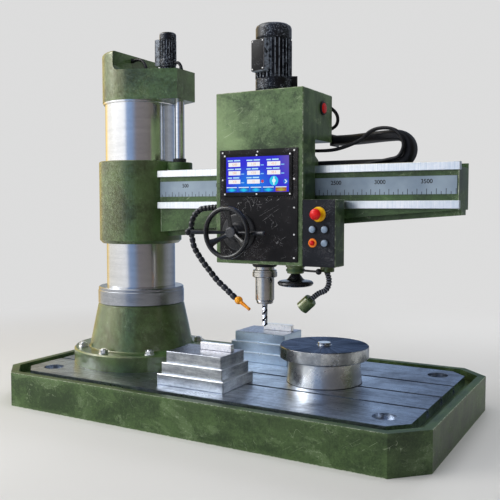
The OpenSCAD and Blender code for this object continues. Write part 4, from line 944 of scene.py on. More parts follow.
print("keys every", round(KEY_PITCH * (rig.box("screen")[1][0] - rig.box("screen")[0][0]) / MM), "mm")

# %% [markdown]
# The ground of the picture goes from sky blue to violet, with the fields and three round signs
# over it. Each layer is mixed over the last by its own mask, as paint would be laid.

# %% Display
def display():
    low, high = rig.box("screen")
    glass = Finish("display_glass", roughness=0.16, colour=tint(6, 8, 12))
    glass.set("Emission Strength", 1.0)
    glass.set("Specular IOR Level", 0.15)
    x, y, z = glass.axes()
    u = (x - low[0]) / (high[0] - low[0])
    v = (z - low[2]) / (high[2] - low[2])

    def inside(left, right, floor, ceiling):
        return (u > left) * (u < right) * (v > floor) * (v < ceiling)

    def disc(cu, cv, reach):
        wide, tall = (u - cu) * 2.03, v - cv
        return (wide * wide + tall * tall) < reach * reach

    glow = ((u - 0.42) * (u - 0.42) + (v - 0.22) * (v - 0.22) * 0.5) ** 0.5
    picture = glass.mix(glow.ramp(0.05, 0.45), tint(0, 116, 230), tint(44, 40, 214))
    picture = glass.mix(u.ramp(0.75, 1.0) * v.ramp(0.0, 1.0), picture, tint(96, 78, 176))
    boxes, captions, units = field_masks(inside)
    picture = glass.mix(captions * 0.9, picture, tint(186, 236, 255))
    picture = glass.mix(units * 0.8, picture, tint(140, 206, 255))
    picture = glass.mix(boxes, picture, tint(246, 246, 250))
    picture = glass.mix(disc(0.588, 0.30, 0.042), picture, tint(196, 60, 84))
    picture = glass.mix(disc(0.766, 0.31, 0.135), picture, tint(40, 196, 236))
    sign = disc(0.766, 0.31, 0.055) | inside(0.757, 0.775, 0.2, 0.42)
    picture = glass.mix(sign, picture, tint(226, 250, 255))
    picture = glass.mix(disc(0.948, 0.285, 0.075), picture, tint(30, 110, 220))
    chevron = abs(v - 0.285) + (u - 0.962) * 1.9
    arrow = (abs(chevron) < 0.016) * (abs(v - 0.285) < 0.05)
    picture = glass.mix(arrow, picture, tint(240, 250, 255))
    picture = with_keys(glass, picture, u, v, inside)
    fine = glass.noise(glass.place(), 900.0, detail=1.0)
    glass.set("Emission Color", glass.mix(fine * 0.12, picture, tint(10, 14, 40)))
    glass.set("Roughness", 0.14 + glass.noise(glass.place(), 14.0).ramp(0.4, 0.7) * 0.1)
    return glass


display_glass = display()
print("display", [round(v, 3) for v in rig.box("screen")[0]])

# %% [markdown]
# Each CAD node takes its finish by name. The node's mesh isn't touched: only the material in
# its slots changes.

# %% Dress the CAD nodes
dress = {
    green: ["column_foot", "column_cap", "arm_sleeve", "head_saddle", "fine_feed_boss", "lamp_boss",
            "lamp_shade"],
    green_head: ["head_housing"], green_box: ["control_box"], green_base: ["base_casting"],
    green_arm: ["arm_beam"],
    table_steel: ["table_plate"], worn_steel: ["step_blocks"],
    round_steel: ["round_table_top"], round_base_steel: ["round_table_base"],
    rail_steel: ["guide_rails"], spindle_steel: ["quill", "spindle_nose"],
    zinc_steel: ["foot_bolts", "pillar_bearings"], screw_bright: ["panel_screws"],
    chrome: ["column_tube", "cap_lip"], ring_chrome: ["clamp_ring"], screw_chrome: ["elevating_screw"],
    lever_black: ["capstan_levers"], tool_steel: ["drill_bit"],
    panel_black: ["front_panel"], box_black: ["control_panel"], motor_black: ["motor_cowl"],
    main_fins: ["main_motor"], lift_fins: ["elevating_motor"],
    grip_black: ["traverse_handwheel", "fine_feed_wheel"], bezel_black: ["screen_bezel"],
    clutch_black: ["clutch_lever"], ring_black: ["button_rings"],
    iron_black: ["capstan_hub", "screw_nut", "conduit_clamp", "conduit_bracket", "inner_pillar"],
    rubber_black: ["spindle_seal", "energy_conduit", "twin_cables", "cable_loop", "cap_cables",
                   "lamp_arm"],
    hose_black: ["coolant_hose"],
    button_red: ["stop_button", "e_stop_button", "side_button"],
    button_blue: ["start_button", "jog_button", "reset_button"], display_glass: ["screen"],
    collar_yellow: ["e_stop_collar"], nozzle_orange: ["coolant_nozzle"],
    bulb_glass: ["lamp_bulb"], ruler_metal: ["ruler_plate"],
}
for finish, names in dress.items():
    for name in names:
        slots = cad[name].data.materials
        slots.clear()
        slots.append(finish.material)
undressed = set(cad) - {name for names in dress.values() for name in names}
print("nodes without a finish:", sorted(undressed))

# %% [markdown]
# Hoses, cables and spokes are all one shape carried along a line. A few points set the line, a
# smooth curve runs through them, and it is cut again into even steps. Blender's own curves
# could do this, but then each ring's size wouldn't be ours to choose.

# %% Smooth lines
def on_curve(points, t):
    """A place on the smooth curve through the points, t counting them from 0."""
    n = len(points) - 1
    i = min(int(t), n - 1)
    u = t - i
    a, b, c, d = (Vector(points[k]) for k in (max(i - 1, 0), i, i + 1, min(i + 2, n)))
    return b + 0.5 * u * ((c - a) + u * (2 * a - 5 * b + 4 * c - d + u * (3 * (b - c) + d - a)))


def smooth_line(points, steps):
    """Points in millimetres made a smooth line of steps + 1 points in metres."""
    return [on_curve(points, (len(points) - 1) * k / steps) * MM for k in range(steps + 1)]


def resampled(line, spacing):
    """The same line with its points evenly apart."""
    far = [0.0]
    for a, b in zip(line, line[1:]):
        far.append(far[-1] + (b - a).length)
    count = max(2, round(far[-1] / spacing))
    even, k = [], 0
    for i in range(count + 1):
        goal = far[-1] * i / count
        while k < len(far) - 2 and far[k + 1] < goal:
            k += 1
        share = (goal - far[k]) / max(far[k + 1] - far[k], 1e-9)
        even.append(line[k].lerp(line[k + 1], min(share, 1.0)))
    return even


def length_of(line):
    return sum((b - a).length for a, b in zip(line, line[1:]))


trial = smooth_line(((0, 0, 0), (50, 0, 50), (100, 0, 0)), 20)
print("a trial line:", round(length_of(trial) / MM), "mm,", len(resampled(trial, 0.01)), "even points")

# %% [markdown]
# A ring is set square to the line at its start, extruded, and the new ring is moved on to the
# next point, turned and scaled as it goes. The rings' sizes may change from point to point, and
# that is all a rib is. Powers below 1 push the ring's corners out towards a flat conduit's.

# %% A ring carried along a line
def stands(line, side):
    """Matrices square to the line at each of its points, with X near the given side."""
    side = Vector(side)
    found = []
    for i, point in enumerate(line):
        ahead = (line[min(i + 1, len(line) - 1)] - line[max(i - 1, 0)]).normalized()
        across = (side - ahead * ahead.dot(side)).normalized()
        turn = Matrix((across, ahead.cross(across), ahead)).transposed().to_4x4()
        found.append(Matrix.Translation(point) @ turn)
    return found


def carried_ring(body, line, sizes, sides=12, side=(0, 1, 0), squared=1.0, capped=True):
    """Adds to body a tube along line; sizes gives its half width and half thickness per point."""
    ring = bmesh.ops.create_circle(body, segments=sides, radius=1.0)["verts"]
    for vert in ring:
        for k in (0, 1):
            vert.co[k] = math.copysign(abs(vert.co[k]) ** squared, vert.co[k])
    edges = [e for e in body.edges if e.verts[0] in ring and e.verts[1] in ring]
    first, before = list(edges), Matrix.Identity(4)
    for k, (stand, (wide, thick)) in enumerate(zip(stands(line, side), sizes)):
        if k:
            grown = bmesh.ops.extrude_edge_only(body, edges=edges)["geom"]
            ring = [g for g in grown if isinstance(g, bmesh.types.BMVert)]
            members = set(ring)
            edges = [g for g in grown if isinstance(g, bmesh.types.BMEdge) and members.issuperset(g.verts)]
        now = stand @ Matrix.Diagonal((wide, thick, 1, 1))
        bmesh.ops.transform(body, matrix=now @ before.inverted(), verts=ring)
        before = now
    if capped:
        bmesh.ops.holes_fill(body, edges=first + edges, sides=0)
    return body


trial = carried_ring(bmesh.new(), smooth_line(((0, 0, 0), (0, 0, 100)), 4), [(0.01, 0.01)] * 5)
print("a trial tube has", len(trial.faces), "faces")
trial.free()

# %% [markdown]
# Hubs, rims, plugs and screw heads are turned parts, as from a lathe: half a profile, spun once
# round its axis. A full spin ends where it began, so use_merge joins its last step to its first
# and no seam is left open.

# %% Turned shapes
def spun(body, profile, stand, steps=40, closed=False):
    """Turns a profile of (radius, height) points in millimetres about the stand's own Z."""
    known = set(body.verts)
    row = [body.verts.new((r * MM, 0, h * MM)) for r, h in profile]
    edges = [body.edges.new(pair) for pair in zip(row, row[1:])]
    if closed:
        edges.append(body.edges.new((row[-1], row[0])))
    bmesh.ops.spin(body, geom=row + edges, axis=(0, 0, 1), cent=(0, 0, 0), dvec=(0, 0, 0),
                   angle=2 * math.pi, steps=steps, use_merge=True, use_normal_flip=False,
                   use_duplicate=False)
    fresh = [v for v in body.verts if v not in known]
    bmesh.ops.transform(body, matrix=stand, verts=fresh)


trial = bmesh.new()
spun(trial, ((0, 0), (10, 0), (10, 5), (0, 5)), Matrix.Identity(4), steps=12)
print("a trial disc has", len(trial.faces), "faces")
trial.free()

# %% [markdown]
# A finished mesh becomes an object that rides on one of the CAD's bodies and moves with it. A
# spin can leave faces inside out, so doubles are merged first and the faces turned outwards.
# Smooth shading alone would blur real edges, so those sharper than an angle are marked.

# %% From mesh to piece
def piece(name, body, finish, rides, smooth=True):
    """Makes an object of a bmesh and lets it ride on a CAD body."""
    bmesh.ops.remove_doubles(body, verts=body.verts, dist=1e-6)
    bmesh.ops.recalc_face_normals(body, faces=body.faces)
    mesh = bpy.data.meshes.new(name)
    body.to_mesh(mesh)
    body.free()
    if smooth:
        mesh.shade_smooth()
    mesh.materials.append(finish.material)
    made = bpy.data.objects.new(name, mesh)
    scene.collection.objects.link(made)
    if rides:
        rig.ride(made, rides)
    return made


def crease(made, degrees=35):
    """Keeps edges sharper than the angle crisp on a smooth piece."""
    for edge_mark in made.data.edges:
        edge_mark.use_edge_sharp = False
    body = bmesh.new()
    body.from_mesh(made.data)
    for edge in body.edges:
        if len(edge.link_faces) == 2 and edge.calc_face_angle(0) > math.radians(degrees):
            edge.smooth = False
    body.to_mesh(made.data)
    body.free()
    return made


print("CAD nodes", len(cad))

# %% [markdown]
# A flat conduit carries the head's cables along the arm. It lies in the channel of the arm's
# top, rolls over in a bend and comes back above itself to a bracket on the head. Its line is
# three pieces in a row: a straight one, half a circle, and one that drifts to the bracket.

# %% Conduit's line
CHANNEL_Z, ARM_IN = 1312.0, 420.0  # channel's floor, and where the arm holds the lower run
BEND, BEND_X = 72.0, 895.0  # the bend's radius and its middle
CONDUIT_Y, CONDUIT_OUT_Y, CONDUIT_END = 30.0, 150.0, 508.3  # in the channel, and at the bracket
CONDUIT_W, CONDUIT_T = 50.0, 27.0  # half its width and half its thickness
LOW_Z = CHANNEL_Z + 0.3 + CONDUIT_T


def conduit_line():
    """Along the channel, round the bend, and back above with a drift to the bracket."""
    low = [Vector((ARM_IN + (BEND_X - ARM_IN) * k / 12, CONDUIT_Y, LOW_Z)) for k in range(12)]
    bend = [Vector((BEND_X + BEND * math.cos(a), CONDUIT_Y, LOW_Z + BEND + BEND * math.sin(a)))
            for a in (math.radians(d) for d in range(-90, 91, 10))]
    high = []
    for k in range(1, 17):
        t = k / 16
        w = t * t * (3 - 2 * t)
        high.append(Vector((BEND_X * (1 - t) + (CONDUIT_END + 2 * CONDUIT_T) * t,
                            CONDUIT_Y * (1 - w) + CONDUIT_OUT_Y * w, LOW_Z + 2 * BEND)))
    high += [Vector((CONDUIT_END + CONDUIT_T, CONDUIT_OUT_Y, LOW_Z + 2 * BEND)),
             Vector((CONDUIT_END, CONDUIT_OUT_Y, LOW_Z + 2 * BEND))]
    return [p * MM for p in low + bend + high]


print("conduit", round(length_of(conduit_line()), 3), "m")

# %% [markdown]
# When the head travels, the lower run gets longer as the upper one gets shorter. So the conduit
# is made in two halves that meet at the bend. Each half follows the arm at one end and the head
# at the other, and at the bend both move half as far as the head. Bones or a moving bend would
# be truer still, but two blended halves keep the loop and need no setting up.

# %% Conduit in the arm's channel
def halves(line):
    """Splits a line at its farthest point along X."""
    far = max(range(len(line)), key=lambda k: line[k].x)
    nudge = Vector((0, 0, math.copysign(0.0004, line[far + 1].z - line[far - 1].z)))
    return line[:far] + [line[far] - nudge, line[far]], [line[far], line[far] + nudge] + line[far + 1:]


def follow_head(made, lower):
    """The lower half is held by the arm at its start, the upper by the head at its end."""
    apex, held, gone = (BEND_X + BEND) * MM, ARM_IN * MM, CONDUIT_END * MM
    if lower:
        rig.blend(made, "arm", "head", (held, 0, 0), (2 * apex - held, 0, 0))
    else:
        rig.blend(made, "arm", "head", (2 * apex - gone, 0, 0), (gone, 0, 0))


def conduit():
    line = resampled(conduit_line(), 0.012)
    for part, name in zip(halves(line), ("conduit_lower", "conduit_upper")):
        body = carried_ring(bmesh.new(), part, [(CONDUIT_W * MM, CONDUIT_T * MM)] * len(part), sides=28,
                            squared=0.62)
        made = piece(name, body, rubber_black, None)
        follow_head(made, name.endswith("lower"))
        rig.slot(made, "black_rubber")
        print(name, round(length_of(part), 3), "m")
        yield made


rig.replaces(list(conduit())[0], "energy_conduit")

# %% [markdown]
# Two round cables run in front of the conduit. They leave the head's underside, rise in an
# easy wave, follow the inside of the bend and lie down in the channel. They are real cables,
# so each half says its length and thickness, and both halves move as the conduit's do.

# %% Pair of cables
HEAD_X, HEAD_Z = 5.0, 827.0  # the head's left and lower faces
CABLE_R = 8.0
CABLE_Y = CONDUIT_Y - CONDUIT_W - CABLE_R - 0.3


def cable_line(y):
    """From the head's underside over the wave and the bend to the arm's clamp."""
    start = Vector((HEAD_X + 395, y, HEAD_Z + 641 - 0.6))
    turn = Vector((BEND_X, y, LOW_Z + BEND))
    floor = CHANNEL_Z + CABLE_R + 0.3
    wave = ((0, -10), (0, -22), (16, -44), (57, -50), (189, -48), (315, -10), (379, 35), (436, 49),
            (499, 39))
    points = [start] + [start + Vector((x, 0, z)) for x, z in wave]
    points += [turn + Vector((x, 0, z)) for x, z in ((42, 60), (55, 10), (30, -38), (-20, -52))]
    points += [Vector((BEND_X - 110, y, floor + 24)), Vector((BEND_X - 240, y, floor + 2)),
               Vector((BEND_X - 370, y, floor + 1)), Vector((ARM_IN + 0.6, y, floor + 1))]
    return resampled(smooth_line(points, 180), 0.008)


def cable_pair():
    for number, y in enumerate((CABLE_Y, CABLE_Y - 2 * CABLE_R - 0.3), 1):
        for part, name in zip(halves(cable_line(y)), ("upper", "lower")):
            body = carried_ring(bmesh.new(), part, [(CABLE_R * MM, CABLE_R * MM)] * len(part), sides=14)
            made = piece(f"cable_{number}_{name}", body, rubber_black, None)
            follow_head(made, name == "lower")
            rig.cord(made, exit=part[0], length=length_of(part), diameter=2 * CABLE_R * MM,
                    far_end="object", stiffness="stiff", lay="taut", path=part)
            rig.slot(made, "black_rubber")
            yield made


cables = list(cable_pair())
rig.replaces(cables[0], "twin_cables")
print("cables", [made.name for made in cables])

# %% [markdown]
# Three short cables stay on one body each: a loop on the head's back, and two on the cap. They
# don't bend in use, so each is one carried ring that rides where both its ends are fixed.

# %% Short cables
THIN_R = 9.0


def short_cable(name, points, steps, rides, node, side=(0, 1, 0)):
    """A cable on one body; one that is long for its thickness also says how it hangs."""
    line = resampled(smooth_line(points, steps), 0.006)
    body = carried_ring(bmesh.new(), line, [(THIN_R * MM, THIN_R * MM)] * len(line), sides=14, side=side)
    made = piece(name, body, rubber_black, rides)
    if length_of(line) > 12 * THIN_R * MM:
        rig.cord(made, exit=line[0], length=length_of(line), diameter=2 * THIN_R * MM,
                far_end="object", stiffness="stiff", lay="taut", path=line)
    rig.slot(made, "black_rubber")
    if node:
        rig.replaces(made, node)
    print(name, round(length_of(line), 3), "m")
    return made


LOOP_TOP, LOOP_LOW = (445.0, 98.6, 1673.0), (445.0, 98.6, 1535.0)
loop_points = [LOOP_TOP, (445, 106.6, 1673), (447, 116.6, 1673), (475, 125.6, 1669), (519, 126.6, 1633),
               (533, 126, 1595), (521, 126.6, 1561), (479, 125.6, 1539), (447, 116.6, 1535),
               (445, 106.6, 1535), LOOP_LOW]
short_cable("head_loop", loop_points, 90, "head", "cable_loop", side=(1, -1, 0))
HOOD = Vector((-735.4, -40, 2004))
DOWN = Vector((-617.4, -56, 1920.6))
short_cable("cap_cable_long", [HOOD, HOOD + Vector((16, 0, 0)), HOOD + Vector((50, 0, 2)),
                               HOOD + Vector((86, -8, -14)), HOOD + Vector((112, -14, -46)),
                               DOWN + Vector((0, 0, 14)), DOWN], 60, "column", "cap_cables")
SIDE = Vector(((LIFT_MOTOR[0] + LIFT_R * 0.98) / MM + 2, -4, 1970))
END = Vector((SIDE.x + 44, -4, 1920.6))
short_cable("cap_cable_short", [SIDE, SIDE + Vector((8, 0, 0)), SIDE + Vector((28, 0, -3)),
                                END + Vector((0, 0, 24)), END + Vector((0, 0, 8)), END], 40, "column", None)

# %% [markdown]
# A small gland, a ribbed nut of rubber, closes the hole where each short cable comes out. It is
# three cones on top of each other, each a little narrower, turned to face along the cable.

# %% Glands
def gland(body, at, out):
    """Adds a stepped sleeve at a point, along a direction."""
    turn = Vector(out).to_track_quat("Z", "Y").to_matrix().to_4x4()
    for start, end, more in ((0.0, 7.0, 6.5), (7.0, 15.0, 4.0), (15.0, 24.0, 1.6)):
        wide = THIN_R + more
        cone = bmesh.ops.create_cone(body, cap_ends=True, segments=18, radius1=wide * MM,
                                     radius2=(wide - 1.2) * MM, depth=(end - start) * MM)["verts"]
        bmesh.ops.transform(body, verts=cone, matrix=Matrix.Translation(Vector(at) * MM) @ turn
                            @ Matrix.Translation((0, 0, (start + end) / 2 * MM)))


for name, rides, places in (("head_glands", "head", ((LOOP_TOP, (0, 1, 0)), (LOOP_LOW, (0, 1, 0)))),
                            ("cap_glands", "column", ((HOOD, (1, 0, 0)), (DOWN, (0, 0, 1)),
                                                      (END, (0, 0, 1))))):
    glands = bmesh.new()
    for at, out in places:
        gland(glands, at, out)
    made = piece(name, glands, grip_black, rides)
    print(name, len(made.data.polygons), "faces")

# %% [markdown]
# The coolant hose is a chain of short cups, each with a ball inside the next, so it stays
# where it is bent. Along the line, each cup swells from a narrow neck, runs straight and
# closes again, and the necks lie in shadow between them. The cups are pushed together in the
# bend at the head and pulled apart further down, so a power of the share spaces them.

# %% Coolant hose
HOSE_NECK_R, HOSE_BORE_R, HOSE_CUPS = 11.8, 10.0, 26
NOZZLE = Vector((144, -268, 633))
hose_points = [(HEAD_X + x, y, HEAD_Z + z) for x, y, z in (
    (-0.6, -215, 293), (-48, -216, 293), (-127, -225, 282), (-170, -232, 239), (-183, -235, 180),
    (-175, -237, 124), (-157, -239, 70), (-105, -243, 3), (-59, -247, -44), (-2, -252, -99),
    (58, -256, -143), (101, -260, -175))] + [NOZZLE + Vector((-38, 8, 19)).normalized() * 20.4]
CUP = ((0.0, HOSE_NECK_R), (0.05, 12.4), (0.10, 15.0), (0.18, 16.3), (0.34, 16.5), (0.62, 16.2),
       (0.80, 15.0), (0.90, 12.6), (0.96, HOSE_NECK_R))  # share of a cup's length, radius


def coolant_hose():
    line = smooth_line(hose_points, 400)
    far, total = [0.0], length_of(line)
    for a, b in zip(line, line[1:]):
        far.append(far[-1] + (b - a).length)

    def at(distance):
        k = min(max(i for i, f in enumerate(far) if f <= distance + 1e-9), len(line) - 2)
        return line[k].lerp(line[k + 1], (distance - far[k]) / (far[k + 1] - far[k]))

    steps = [(((cup + share) / HOSE_CUPS) ** 1.3, r) for cup in range(HOSE_CUPS) for share, r in CUP]
    steps.append((1.0, HOSE_NECK_R))
    path = [at(share * total) for share, r in steps]
    body = carried_ring(bmesh.new(), path, [(r * MM, r * MM) for share, r in steps], sides=20,
                        capped=False)
    bore = resampled(line, 0.02)
    carried_ring(body, bore, [(HOSE_BORE_R * MM, HOSE_BORE_R * MM)] * len(bore), sides=20, capped=False)
    for end in (path[0], path[-1]):
        rim = [e for e in body.edges if e.is_boundary and (e.verts[0].co - end).length < 0.02]
        bmesh.ops.bridge_loops(body, edges=rim)
    made = piece("coolant_hose_cups", body, hose_black, "head")
    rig.replaces(made, "coolant_hose")
    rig.slot(made, "black_plastic")
    print("hose", round(total, 3), "m,", HOSE_CUPS, "cups of", round(total / HOSE_CUPS / MM, 1), "mm")


coolant_hose()

# %% [markdown]
# The lamp hangs on a wound flexible arm. Each turn is one swell of the ring's size along the line.
# Every vertex keeps how far up its swell it is, in a number called crest that the coil's paint
# reads: it paints the crests lighter, as a highlight, so that the turns show as fine bright rings
# on dark.

# %% Lamp arm
# Painted highlight: the crest of each turn is painted lighter.
crest = lamp_coil.node("ShaderNodeAttribute", {"attribute_name": "crest"}, {}, "Fac")
lamp_coil.set("Base Color", lamp_coil.mix(crest, lamp_coil.painted(), tint(84, 88, 98)))
LAMP = Vector((605, -170, 796))
lamp_points = [LAMP + Vector((x, 0, z)) for x, z in ((0, -5), (6, -22), (10, -43), (6, -72), (-11, -96),
                                                     (-42, -110), (-67, -127.5), (-84, -143))]
SWELL = ((0.0, 9.8), (0.12, 12.6), (0.3, 14.6), (0.5, 15.0), (0.7, 14.6), (0.88, 12.6))


def lamp_arm(turns=14, sides=20):
    line = resampled(smooth_line(lamp_points, 120), 0.0001)
    steps = [(k + share) / turns for k in range(turns) for share, r in SWELL] + [1.0]
    swell = [r for share, r in SWELL] * turns + [SWELL[0][1]]
    path = [line[round(share * (len(line) - 1))] for share in steps]
    body = carried_ring(bmesh.new(), path, [(r * MM, r * MM) for r in swell], sides=sides)
    crest = body.verts.layers.float.new("crest")
    body.verts.ensure_lookup_table()
    for number, vert in enumerate(body.verts):
        vert[crest] = max(0.0, (swell[number // sides] - 12.6) / (15.0 - 12.6))
    stem = Matrix.Translation(LAMP * MM)
    spun(body, ((0, -8), (10, -8), (10, 46), (0, 46)), stem)
    spun(body, ((0, -9), (13, -9), (15.5, -7), (15.5, -0.3), (0, -0.3)), stem)
    made = crease(piece("lamp_flex", body, lamp_coil, "lamp"))
    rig.replaces(made, "lamp_arm")
    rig.slot(made, "black_enamel")
    print("lamp arm", turns, "turns on", round(length_of(line) / MM), "mm")


lamp_arm()

# %% [markdown]
# The handwheel is a moulded wheel: an oval rim, three arms that flare where they meet it, and a
# domed hub with a groove. Rim and hub are profiles turned about the wheel's own axis, which
# points out of the head; each arm is an oval ring carried outwards while its width changes.

# %% Handwheel
WHEEL = Matrix.Translation((0.150, 0, 0.992)) @ Matrix.Rotation(math.radians(90), 4, "X")
RIM_R, RIM_WIDE, RIM_DEEP, RIM_PLANE = 123.5, 12.0, 16.0, 400.0
HUB = ((0, 352.3), (29.5, 352.3), (29.5, 361), (28.8, 364), (27, 366.6), (24, 368.4), (20, 369),
       (18.4, 369), (17.8, 367.6), (16.2, 367.6), (15.6, 369), (6, 369.0), (5, 368), (0, 368))
SHAFT = ((0, 168), (14, 168), (14, 353), (0, 353))
ARM = ((14, 357, 14, 5.0), (30, 359, 12.5, 6.0), (46, 364, 12, 6.2), (62, 371, 12.5, 6.0),
       (84, 382.5, 15, 5.8), (102, 391.5, 19, 6.2), (113, 397, 24, 7.2), (121, 400, 27, 8.2))


def handwheel():
    """ARM's rows are distance from the axis, height along it, half width and half thickness."""
    body = bmesh.new()
    rim = [(RIM_R + RIM_WIDE * math.cos(a), RIM_PLANE + RIM_DEEP * math.sin(a))
           for a in (math.radians(15 * k) for k in range(24))]
    spun(body, rim, WHEEL, steps=96, closed=True)
    spun(body, HUB, WHEEL, steps=64)
    spun(body, SHAFT, WHEEL)
    middle = smooth_line([(r, 0, h) for r, h, wide, thick in ARM], 30)
    sizes = smooth_line([(wide, thick, 0) for r, h, wide, thick in ARM], 30)
    for angle in (90, 210, 330):
        turn = WHEEL @ Matrix.Rotation(math.radians(angle), 4, "Z")
        carried_ring(body, [turn @ p for p in middle], [(q.x, q.y) for q in sizes], sides=28,
                     side=turn.to_3x3() @ Vector((0, 1, 0)))
    made = crease(piece("wheel_moulded", body, grip_black, "handwheel"), 40)
    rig.replaces(made, "traverse_handwheel")
    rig.slot(made, "black_plastic")
    print("handwheel", len(made.data.polygons), "faces")


handwheel()

# %% [markdown]
# Both motors carry a terminal box with a screwed lid, and a smaller cable block stands at the
# main motor's foot. Their paint is pale along the edges, worn there and painted as a highlight.
# The boxes stand turned about Z, so a Mapping node turns each point back before its distance
# from the edges is measured.

# %% Paint with worn and highlighted edges
PALE_EDGE = (0.0006, 0.0026)  # how far from an edge the paint is still pale, and is whole, in metres


def edge_worn_and_lit(name, low, high, turn):
    """Motor paint with pale edges, worn and painted as a highlight, for a box between two corners after a turn about
    Z.
    """
    finish = black(name, tint(16, 16, 19), tint(36, 35, 38), rough=(0.4, 0.55), scratched=0.6, chips=0.5,
                   gloss=0.12)
    own = finish.node("ShaderNodeMapping", {}, {"Vector": finish.place(), "Rotation": (0, 0, -turn)})
    chip = finish.noise(finish.place(), 70.0, detail=4.0)
    # Pale edges: worn paint, and also a painted highlight.
    rubbed_and_glint = 1 - (near_edge(finish.axes(own), low, high) + (chip - 0.5) * 0.006).ramp(*PALE_EDGE)
    finish.set("Base Color", finish.mix(rubbed_and_glint * 0.6, finish.painted(), tint(132, 134, 138)))
    return finish


print("paint is whole", round(PALE_EDGE[1] / MM, 1), "mm from an edge")

# %% [markdown]
# Each box is a cube moved to its size, with its edges bevelled in two steps, as a cast lid has.
# It is made square to the axes and turned last, so that its corners can be given as plain
# numbers.

# %% Turned boxes
def boxed(body, low, high, turn, bevel=0.0012):
    """Adds a bevelled box between two corners, turned about Z through the origin."""
    cube = bmesh.ops.create_cube(body, size=1.0)["verts"]
    size = Vector(high) - Vector(low)
    bmesh.ops.transform(body, verts=cube, matrix=Matrix.Translation((Vector(low) + Vector(high)) / 2)
                        @ Matrix.Diagonal((*size, 1)))
    edges = list({edge for vert in cube for edge in vert.link_edges})
    made = bmesh.ops.bevel(body, geom=edges, offset=bevel, offset_type="OFFSET", affect="EDGES",
                           segments=2, profile=0.5, material=-1)
    verts = {vert for face in made["faces"] for vert in face.verts}
    verts |= {vert for start in list(verts) for edge in start.link_edges for vert in edge.verts}
    bmesh.ops.rotate(body, verts=list(verts), cent=(0, 0, 0), matrix=Matrix.Rotation(turn, 3, "Z"))


trial = bmesh.new()
boxed(trial, (0, 0, 0), (0.1, 0.1, 0.1), 0.0)
print("a trial box has", len(trial.faces), "faces")
trial.free()

# %% [markdown]
# A lid covers the outer face of each terminal box, with a screw near each corner. The screws
# are low domes, spun and set square to the lid.

# %% Motor lids
def screw_dome(body, at, out, r=4.0):
    """A low domed screw head at a point in metres, facing out."""
    turn = Vector(out).normalized().to_track_quat("Z", "Y").to_matrix().to_4x4()
    spun(body, ((0, -1), (r, -1), (r, 1.2), (r * 0.8, 2.2), (r * 0.4, 2.8), (0, 3.0)),
         Matrix.Translation(at) @ turn, steps=18)


def motor_lid(name, axis, base, tall, reach, half, floor, ceiling, turn, rides):
    """A lid on a motor's terminal box, on the side that turn + 180 degrees faces.

    The box reaches so far from the axis and is twice half wide; floor and ceiling are its lower
    and upper ends as shares of the motor's height tall above its base.
    """
    turn = math.radians(turn)
    own = Matrix.Rotation(-turn, 3, "Z") @ Vector((axis[0], axis[1], 0))
    low = Vector((own.x - reach - 0.004, own.y - half * 0.97, base + tall * floor + 0.003))
    high = Vector((own.x - reach + 0.0005, own.y + half * 0.97, base + tall * ceiling - 0.003))
    body = bmesh.new()
    boxed(body, low, high, turn)
    made = crease(piece(name, body, edge_worn_and_lit(name, low, high, turn), rides), 40)
    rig.slot(made, "black_enamel")
    heads = bmesh.new()
    out = Matrix.Rotation(turn, 3, "Z") @ Vector((-1, 0, 0))
    inset = min(0.009, half * 0.25)
    for y in (low.y + inset, high.y - inset):
        for z in (low.z + inset, high.z - inset):
            at = Matrix.Rotation(turn, 3, "Z") @ Vector((low.x - 0.0001, y, z))
            screw_dome(heads, at, out, inset * 420)
    piece(name + "_screws", heads, zinc_steel, rides)
    print(name, [round(v, 4) for v in high - low])


head_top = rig.box("main_motor")[0][2]
motor_lid("main_motor_lid", MAIN_MOTOR, head_top, tall=0.366, reach=0.124, half=MAIN_R * 0.46, floor=0.29,
          ceiling=0.74, turn=77, rides="head")
lift_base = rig.box("elevating_motor")[0][2] + 0.028
motor_lid("lift_motor_lid", LIFT_MOTOR, lift_base, tall=0.203, reach=0.076, half=LIFT_R * 0.46, floor=0.06,
          ceiling=0.82, turn=0, rides="column")

# %% [markdown]
# The cables enter the main motor through a block at its foot. The CAD model has a low one; the
# real block is taller, so a bevelled box is set over it.

# %% Cable block
def cable_block(base, turn):
    """The block at the main motor's foot, its height standing above the CAD's low one."""
    own = Matrix.Rotation(-turn, 3, "Z") @ Vector((*MAIN_MOTOR, 0))
    low = Vector((own.x + 0.060, own.y - 0.0226, base + 0.0002))
    high = Vector((own.x + MAIN_R * 1.27 + 0.0006, own.y + 0.0226, base + 0.094))
    body = bmesh.new()
    boxed(body, low, high, turn, bevel=0.002)
    name = "motor_cable_block"
    made = crease(piece(name, body, edge_worn_and_lit(name, low, high, turn), "head"), 40)
    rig.slot(made, "black_enamel")
    print(name, [round(v, 4) for v in high - low])


cable_block(head_top, math.radians(30))

# %% [markdown]
# A turned plug stands in the round table's bore, to centre the work on. Its profile is spun
# about the table's axis; the part below the table's face is the wider one, and holds it. Round
# the table's foot goes a sheet skirt, a little wider at the bottom, over a black sealing ring.

# %% Centring plug and foot skirt
def turned_piece(name, profile, stand, finish, rides, steps=96, closed=True):
    body = bmesh.new()
    spun(body, profile, stand, steps=steps, closed=closed)
    crease(piece(name, body, finish, rides), 30)


